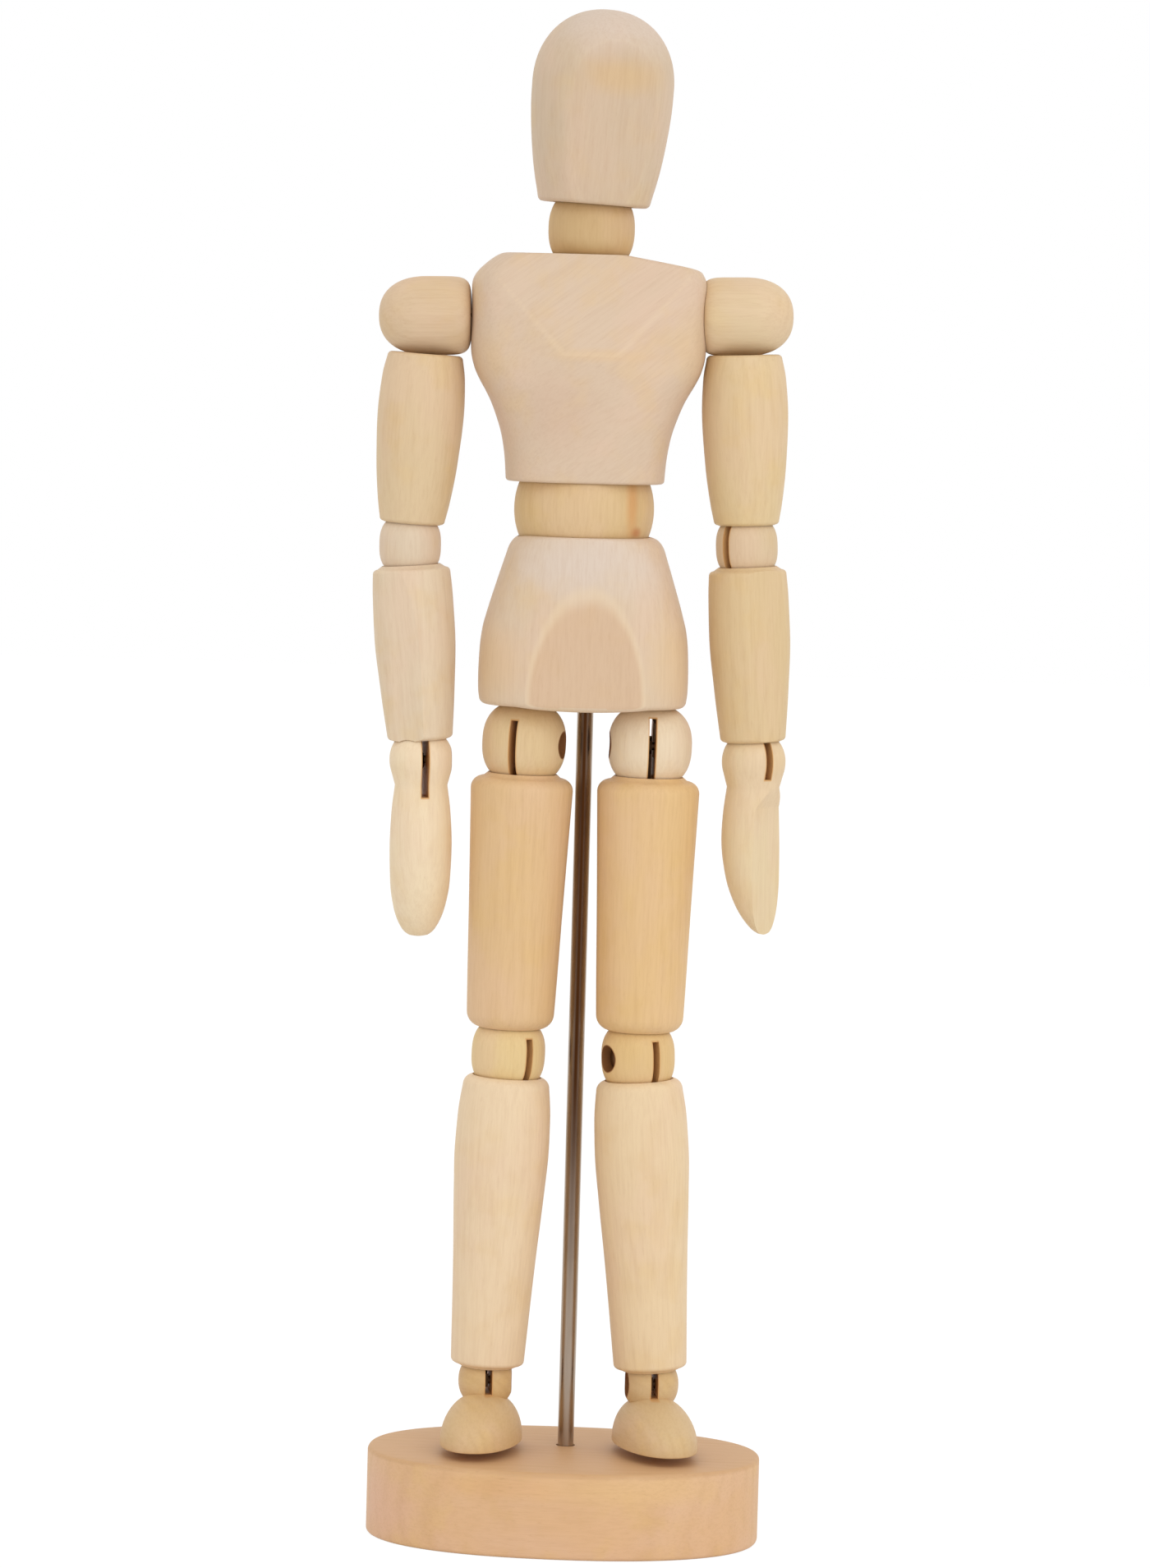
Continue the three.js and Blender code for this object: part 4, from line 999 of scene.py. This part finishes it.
def make_shoulder_ball(sign):
    reach = 2 * SHOULDER_BALL["outer"]
    slot = box((reach, KERF_WIDTH, reach), (sign * (reach / 2 - 3), 0, SHOULDER_KERF_TOP - reach / 2))
    pocket = along_x(cylinder(POCKET_RADIUS, POCKET_BOTTOM, reach), -sign)
    holes = [moved(hole, QUARTER_TURN) for hole in pin_holes(SHOULDER_BALL["radius"], 1)]
    return combine(shoulder_body(sign, 0), [slot, pocket] + holes)


def make_pin(radius, side):
    """A rivet with a domed head, sunk in its hole."""
    floor = pin_head_floor(radius)
    end = -radius * PIN_REACH_SHARE
    dome = arc((0, floor + PIN_HEAD_RIM), (PIN_HEAD_RADIUS, PIN_HEAD_THICKNESS - PIN_HEAD_RIM), 0, 90, 6)
    profile = [(0, end), (PIN_RADIUS, end), (PIN_RADIUS, floor), (PIN_HEAD_RADIUS, floor)]
    profile += dome[:-1] + [(0, floor + PIN_HEAD_THICKNESS)]
    return along_x(turned("pin", profile, 32), side)


def make_hand(arm):
    length = arm["hand_length"]
    # half widths from the finger tips up to the neck of the hand
    leaf = curve_through([(0, 0.9), (0.35, 2.0), (1.9, 3.5), (6.2, 5.15), (11, 5.9),
                          (length - HAND_RADIUS_DROP, HAND_RADIUS), (length - 10.5, 5.85),
                          (length - HAND_NECK_DROP, HAND_NECK_RADIUS)])
    rises = list(np.linspace(0, 2, 7)) + list(np.linspace(2, length - HAND_NECK_DROP, 40))[1:]
    profile = [(0, -length)] + [(float(leaf(rise)), rise - length) for rise in rises]
    profile[1] = (0.55, -length + 0.02)
    ball = [point for point in ball_profile(WRIST["radius"], WRIST["radius"], WRIST["power"], 48)
            if point[1] > -HAND_NECK_DROP * 0.5]
    body = turned("hand", profile + ball, 96)
    for vertex in body.data.vertices:
        low = max(0.0, -vertex.co.z / MM - HAND_CURL_DROP) / (length - HAND_CURL_DROP)
        vertex.co.y -= HAND_CURL * low * low * MM
    cuts = []
    for tilt, depth in ((PALM_START_TILT, HAND_NECK_RADIUS), (0, PALM_DEPTH)):
        lean = Matrix.Rotation(radians(90 + tilt), 4, "X")
        cuts.append(moved(moved(box((80, 80, 30), (0, 0, 15)), lean), shift(0, -depth, -HAND_NECK_DROP)))
    palm = combine(cuts[0], [cuts[1]], "INTERSECT")
    slot = kerf(WRIST["radius"], -arm["hand_kerf"], WRIST["radius"] + 2)
    turn = Matrix.Rotation(radians(arm["palm"]), 4, "Z")
    body = combine(moved(body, turn), [moved(palm, turn)])
    return combine(body, [slot] + pin_holes(WRIST["radius"], arm["wrist_pin"]))


def foot_ring(angle, sides=64):
    """One cross-section of a foot, domed above and flat below with a rounded edge."""
    along, across = math.sin(angle), math.cos(angle)
    reach = FOOT_BALL_REACH if along < 0 else FOOT_LENGTH - FOOT_BALL_REACH
    rise = across ** HEEL_DOME_POWER if along < 0 else across ** TOE_DOME_POWER * (1 - TOE_DROP_SHARE * along)
    half_width, height = FOOT_WIDTH / 2 * across ** FOOT_SIDE_POWER, FOOT_HEIGHT * rise
    y = -(FOOT_BALL_REACH - FOOT_HEEL_REACH + reach * along)
    ring = []
    for turn in np.linspace(0, 2 * math.pi, sides, endpoint=False):
        x = half_width * math.copysign(abs(math.cos(turn)) ** (2 / FOOT_POWER), math.cos(turn))
        z = height * math.copysign(abs(math.sin(turn)) ** (2 / FOOT_POWER), math.sin(turn))
        floor = -float(smooth_min(np.array(-z), np.array(0.0), FOOT_SOLE_EDGE))
        ring.append((x, y, floor))
    return ring


def make_foot(leg):
    angles = np.radians(np.linspace(-89, 89, 60))
    rings = [foot_ring(angle) for angle in angles]
    tips = [np.mean(ring, axis=0) for ring in (rings[0], rings[-1])]
    shoe = skin("foot", [[tips[0]]] + rings + [[tips[1]]])
    moved(shoe, shift(0, 0, -FOOT_SOLE_DROP))
    moved(shoe, Matrix.Rotation(radians(FOOT_PITCH), 4, "X"))
    moved(shoe, Matrix.Rotation(radians(leg["toe_turn"]), 4, "Z"))
    radius = ANKLE["radius"]
    ankle = turned("cutter", ball_profile(radius, radius, ANKLE["power"], 40), 80)
    body = combine(shoe, [ankle], "UNION")
    return combine(body, [kerf(radius, ANKLE_KERF_BOTTOM, radius + 2)] + pin_holes(radius, leg["pin"]))


# Colours of the pieces, as 0 to 255 screen values

HEAD_COLOUR = (212, 190, 163)
NECK_COLOUR = (207, 175, 127)
CHEST_COLOUR = (219, 195, 170)
WAIST_COLOUR = (219, 189, 139)
PELVIS_COLOUR = (222, 199, 172)
ARM_COLOURS = {
    "right": {"shoulder": (220, 193, 159), "upper_arm": (224, 199, 160), "elbow": (224, 204, 178),
              "forearm": (230, 209, 180), "hand": (244, 224, 190)},
    "left": {"shoulder": (225, 201, 163), "upper_arm": (225, 200, 155), "elbow": (220, 196, 160),
             "forearm": (223, 196, 152), "hand": (232, 210, 170)},
}
LEG_COLOURS = {
    "right": {"hip": (225, 197, 151), "thigh": (227, 191, 143), "knee": (232, 204, 150),
              "shin": (238, 213, 178), "foot": (214, 181, 133)},
    "left": {"hip": (236, 216, 186), "thigh": (230, 193, 139), "knee": (227, 193, 137),
             "shin": (236, 210, 171), "foot": (214, 184, 139)},
}
BASE_COLOUR = (226, 184, 141)
BASE_TOP_COLOUR = (208, 166, 121)

# the rod's dark middle band is a painted reflection
steel_rod = drawn_steel("drawn_rod", (180, 164, 148), 0.22, painted_reflection=(74, 42, 18))
steel_pin = drawn_steel("sunk_pin", (122, 96, 72), 0.34)
# dark brown link steel: painted shade, so the links look shaded inside their saw slots
link_steel_with_painted_shade = drawn_steel("link_plate", (92, 70, 50), 0.4)


# Assembly


def add_wood(thing, node, body, slot, matrix, colour, seed, edge=None, **looks):
    add_piece(thing, node, body, matrix, wood(node + "_grain", colour, seed, **looks), edge)


def add_pin(node, body, matrix, ball, side):
    add_piece(make_pin(ball["radius"], side), node, body, matrix, steel_pin)


def add_slotted_ball(joint, form, ball, kerf_top, pin_side, slot, matrix, colour, seed):
    """A ball with its pin, on the body that has the joint's name."""
    add_wood(make_slotted_ball(ball, kerf_top, pin_side), joint + "_" + form, joint, slot, matrix,
             colour, seed, kerf=(-99.0, kerf_top), hole=(pin_side, pin_head_floor(ball["radius"])))
    add_pin(joint + "_pin", joint, matrix, ball, pin_side)


def add_limb(side, kind, slot, matrix, colours, seed, arm=None, **looks):
    name = side + "_" + kind
    add_wood(make_limb(kind, arm), name, name + "_body", slot, matrix, colours[kind], seed, **looks)


def ball_matrix(place, upper_up, lower_up, across):
    """The place of a ball that stands half way between the limbs above and below it."""
    up = upper_up + lower_up
    return placed(place, up - up.dot(across) * across, across)


def add_stand():
    """The oval base, turned so that its hole meets the rod, and the rod."""
    rod_place = point_of("stand_turn")
    turn = Matrix.Rotation(-math.atan2(rod_place.x, rod_place.y), 4, "Z")
    low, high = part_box("support_rod")
    add_wood(make_base(), "base", "stand", "base_wood", turn, BASE_COLOUR, 3, warm=0.5, rings=1.2,
             pith=(14, -70), spacing=3.2, grain_turn=(0, 90, 0), fleck=0.9,
             # the first three patches tint one end and the upper front, and the last makes the top face
             # darker than the sides
             stains=[((-34, -14, 7), (16, 20, 8), (228, 184, 156), 0.6),
                     ((18, -26, 14), (24, 14, 4), (232, 192, 136), 0.6),
                     ((-12, -26, 14), (16, 14, 3), (228, 180, 128), 0.5),
                     ((0, 0, BASE_SIZE[2]), (200, 200, 1.0), BASE_TOP_COLOUR, 0.9)])
    add_piece(make_rod(low.z / MM, high.z / MM), "support_rod", "rod",
              placed(Vector((rod_place.x, rod_place.y, 0))), steel_rod)


def add_pelvis():
    waist_place, rod_place = point_of("waist_bend"), point_of("stand_turn")
    place = Vector((waist_place.x - TORSO_OFFSET * MM, waist_place.y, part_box("pelvis")[0].z))
    hip_places = []
    for leg in LEGS:
        up = leg["sign"] * axis_of(leg["side"] + "_thigh_turn")
        hip_places.append(((point_of(leg["side"] + "_hip_swivel") - place) / MM, up))
    rod_offset = ((rod_place.x - place.x) / MM, (rod_place.y - place.y) / MM)
    add_wood(make_pelvis(hip_places, rod_offset), "pelvis", "hips", "pale_wood", placed(place),
             PELVIS_COLOUR, 5, crease_of([pelvis_facet()], pelvis_outline),
             warm=0.35, rings=0.4, crease=0.35, flat=((218, 185, 152), 0.75),
             # the first two patches make the bottom corners yellower and the third makes the top front paler
             stains=[((-17, -8, 8), (9, 9, 9), (226, 190, 142), 0.5),
                     ((17, -8, 9), (7, 9, 11), (230, 198, 152), 0.5),
                     ((0, -12, 28), (18, 9, 8), (223, 206, 191), 0.9)])


def add_chest(place, shoulders, shoulder_line):
    add_wood(make_chest(shoulders, shoulder_line), "chest", "torso", "pale_wood", placed(place),
             CHEST_COLOUR, 9, crease_of(chest_planes(), above=PECTORAL_HEIGHT - 0.4),
             warm=0.35, rings=0.25, pith=(-30, -40), spacing=3.6, grain_turn=(20, -52, 0), crease=0.2,
             # the first two patches make the sides yellower and the third makes the lower front darker; the
             # fourth is a painted shade line along the pectoral crease
             stains=[((20, -9, 27), (4, 9, 9), (226, 194, 150), 0.45),
                     ((-20, -9, 24), (4, 9, 7), (224, 192, 154), 0.45),
                     ((-5, -14, 14), (9, 6, 9), (211, 180, 156), 0.45),
                     ((4, -15, 25), (14, 5, 1.6), (226, 192, 148), 0.45)])


def add_waist_ball():
    add_wood(make_bored_ball(WAIST_BALL), "waist_ball", "waist", "cream_wood", placed(point_of("waist_bend")),
             WAIST_COLOUR, 7, warm=0.3, rings=0.8, pith=(20, -22), spacing=2.8,
             stains=[((9.4, -10, 1.5), (1.5, 6, 9), (214, 158, 98), 0.75),
                     ((10.4, -9.5, -4.2), (1.2, 5, 1.4), (196, 120, 72), 0.7)])


def add_neck_ball():
    add_wood(make_bored_ball(NECK_BALL), "neck_ball", "neck", "cream_wood", placed(point_of("neck_bend")),
             NECK_COLOUR, 11, warm=0.4, rings=0.8, pith=(10, -20), spacing=2.6,
             # the patch makes the ball darker at its bottom front, where it goes into the chest
             stains=[((-1, -7, -6.5), (9, 7, 4), (176, 138, 84), 0.6)])


def add_head():
    up = axis_of("head_turn")
    across = Matrix.Rotation(radians(HEAD_TURN), 3, up) @ Vector((up.z, 0, -up.x))
    matrix = placed(point_of("neck_bend"), up, across) @ shift(0, 0, NECK_GAP / 2)
    add_wood(make_head(), "head", "head_body", "pale_wood", matrix, HEAD_COLOUR, 13,
             crease_of([head_facet()], head_outline), warm=0.3, rings=0.6, pith=(-18, -34), spacing=2.4,
             crease=0.05, flat=((208, 181, 154), 0.35),
             # the first patch is painted shade on the brow above the face flat; the second makes the crown
             # paler and greyer
             stains=[((1.5, -12, 25), (9.5, 6, 4.2), (217, 184, 138), 0.7),
                     ((0, -8, 36), (16, 14, 8), (219, 202, 190), 0.6)])


def add_leg(leg, odd):
    side, colours = leg["side"], LEG_COLOURS[leg["side"]]
    thigh_up = leg["sign"] * axis_of(side + "_thigh_turn")
    shin_up = leg["sign"] * axis_of(side + "_shin_turn")
    hip_at = point_of(side + "_hip_swivel")
    knee_at = point_of(side + "_knee_bend")
    knee_across = -leg["sign"] * axis_of(side + "_knee_bend")

    add_slotted_ball(side + "_hip", "ball", HIP, leg["hip_kerf"], leg["pin"], "pale_wood",
                     placed(hip_at, thigh_up, -axis_of(side + "_thigh_swing")), colours["hip"], 15 + odd)
    add_limb(side, "thigh", "honey_wood", placed(hip_at, thigh_up), colours, 17 + odd,
             warm=0.4, rings=0.9, pith=(-20, -30))
    add_slotted_ball(side + "_knee", "barrel", KNEE, KNEE_KERF_TOP, leg["pin"], "cream_wood",
                     ball_matrix(knee_at, thigh_up, shin_up, knee_across), colours["knee"], 19 + odd)
    add_limb(side, "shin", "cream_wood", placed(knee_at, shin_up), colours, 21 + odd,
             warm=0.3, rings=0.7, pith=(26, -24))

    matrix = placed(point_of(side + "_foot_rock"), Vector((0, 0, 1)), axis_of(side + "_foot_rock"))
    add_wood(make_foot(leg), side + "_foot", side + "_foot_body", "cream_wood", matrix, colours["foot"],
             23 + odd, warm=0.5, rings=1.1, pith=(8, 12), grain_turn=(90, 0, 0),
             kerf=(ANKLE_KERF_BOTTOM, 99.0), hole=(leg["pin"], pin_head_floor(ANKLE["radius"])))
    add_pin(side + "_ankle_pin", side + "_foot_body", matrix, ANKLE, leg["pin"])


def add_arm(arm, odd, shoulder_line):
    side, colours = arm["side"], ARM_COLOURS[arm["side"]]
    upper_up = arm["sign"] * axis_of(side + "_arm_turn")
    fore_up = arm["sign"] * axis_of(side + "_forearm_turn")
    shoulder_at = point_of(side + "_shoulder_swing")
    elbow_at = point_of(side + "_elbow_bend")

    matrix = placed(shoulder_at, across=shoulder_line)
    add_wood(make_shoulder_ball(arm["sign"]), side + "_shoulder_ball", side + "_shoulder", "cream_wood",
             matrix, colours["shoulder"], 25 + odd, rings=0.7, pith=(12, 14), grain_turn=(0, 90, 0))
    add_piece(moved(make_pin(SHOULDER_BALL["radius"], 1), QUARTER_TURN), side + "_shoulder_pin",
              side + "_shoulder", matrix, steel_pin)
    add_limb(side, "upper_arm", "cream_wood", placed(shoulder_at, upper_up), colours, 27 + odd,
             warm=0.4, rings=0.7, pith=(-12, -32))
    add_slotted_ball(side + "_elbow", "barrel", ELBOW, ELBOW_KERF_TOP, arm["elbow_pin"], "pale_wood",
                     ball_matrix(elbow_at, upper_up, fore_up, axis_of(side + "_elbow_bend")),
                     colours["elbow"], 29 + odd)
    add_limb(side, "forearm", "cream_wood", placed(elbow_at, fore_up), colours, 31 + odd, arm,
             warm=0.35, rings=0.8, pith=(-24, -18))

    across = axis_of(side + "_hand_bend")
    matrix = placed(point_of(side + "_hand_bend"), Vector((-across.z, 0, across.x)), across)
    add_wood(make_hand(arm), side + "_hand", side + "_hand_body", "cream_wood", matrix, colours["hand"],
             33 + odd, rings=0.6, pith=(-20, 22), kerf=(-arm["hand_kerf"], 99.0),
             hole=(arm["wrist_pin"], pin_head_floor(WRIST["radius"])))
    add_pin(side + "_wrist_pin", side + "_hand_body", matrix, WRIST, arm["wrist_pin"])


def colour_hidden_steel():
    """The links and springs keep the frame's own shapes."""
    for name, node in frame["nodes"].items():
        if name.endswith("_link") or name.endswith("_spring"):
            node.data.materials.clear()
            node.data.materials.append(link_steel_with_painted_shade)


chest_place = Vector((point_of("waist_bend").x, point_of("waist_bend").y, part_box("chest")[0].z))
shoulders = [(point_of(arm["side"] + "_shoulder_swing") - chest_place) / MM for arm in ARMS]
shoulder_line = (shoulders[1] - shoulders[0]).normalized()

add_stand()
add_pelvis()
add_waist_ball()
add_chest(chest_place, shoulders, shoulder_line)
add_neck_ball()
add_head()
for odd, leg in enumerate(LEGS):
    add_leg(leg, odd)
for odd, arm in enumerate(ARMS):
    add_arm(arm, odd, shoulder_line)
colour_hidden_steel()


# Floor, light and camera

WORLD_LIGHT = 0.92
FLOOR_GLOW = 1.08
FLOOR_GLOW_SHARE = 0.86
CAMERA_PLACE = (-1.3, -1253.1, 244.3)
CAMERA_PITCH = 4.3
CAMERA_ROLL = 1.55
CAMERA_FOCUS_PIXELS = 7740
PICTURE_HEIGHT = 1909


def make_floor():
    floor = new_object("floor", [(-3000, -3000, 0), (3000, -3000, 0), (3000, 3000, 0), (-3000, 3000, 0)],
                       [(0, 1, 2, 3)])
    material = bpy.data.materials.new("white_floor")
    sheet = Sheet(material)
    sheet.give_surface({"Base Color": (0.8, 0.8, 0.8, 1), "Roughness": 0.9})
    glow = sheet.node("Emission", {"Strength": FLOOR_GLOW})
    sheet.show_instead(sheet.times(sheet.seen_directly(), FLOOR_GLOW_SHARE), glow)
    floor.data.materials.append(material)


def make_world():
    scene.world = bpy.data.worlds.new("studio")
    sheet = Sheet(scene.world, "OutputWorld", "Background")
    sheet.give_surface({"Color": (1.0, 0.985, 0.965, 1), "Strength": WORLD_LIGHT})
    white = sheet.node("Background", {"Color": (1, 1, 1, 1), "Strength": 1.0})
    sheet.show_instead(sheet.seen_directly(), white)


def add_lamp(name, place, target, size, power):
    lamp = bpy.data.lights.new(name, "AREA")
    lamp.shape = "SQUARE"
    lamp.size = size
    lamp.energy = power
    thing = link_object(name, lamp)
    thing.location = place
    thing.rotation_euler = (Vector(target) - Vector(place)).to_track_quat("-Z", "Y").to_euler()


def make_camera():
    camera = bpy.data.cameras.new("camera")
    camera.lens = camera.sensor_width * CAMERA_FOCUS_PIXELS / PICTURE_HEIGHT
    camera.clip_start = 0.01
    camera.clip_end = 100
    thing = link_object("camera", camera)
    forward = Vector((0, math.cos(radians(CAMERA_PITCH)), -math.sin(radians(CAMERA_PITCH))))
    right = Vector((1, 0, 0))
    up = right.cross(forward)
    roll = radians(CAMERA_ROLL)
    rolled_right = right * math.cos(roll) + up * math.sin(roll)
    rolled_up = up * math.cos(roll) - right * math.sin(roll)
    matrix = Matrix((rolled_right, rolled_up, -forward)).transposed().to_4x4()
    matrix.translation = Vector(CAMERA_PLACE) * MM
    thing.matrix_world = matrix
    scene.camera = thing


make_floor()
make_world()
add_lamp("key", (0.6, -1.2, 0.75), (0, 0, 0.15), 1.0, 4.0)
make_camera()
scene.view_settings.view_transform = "Standard"
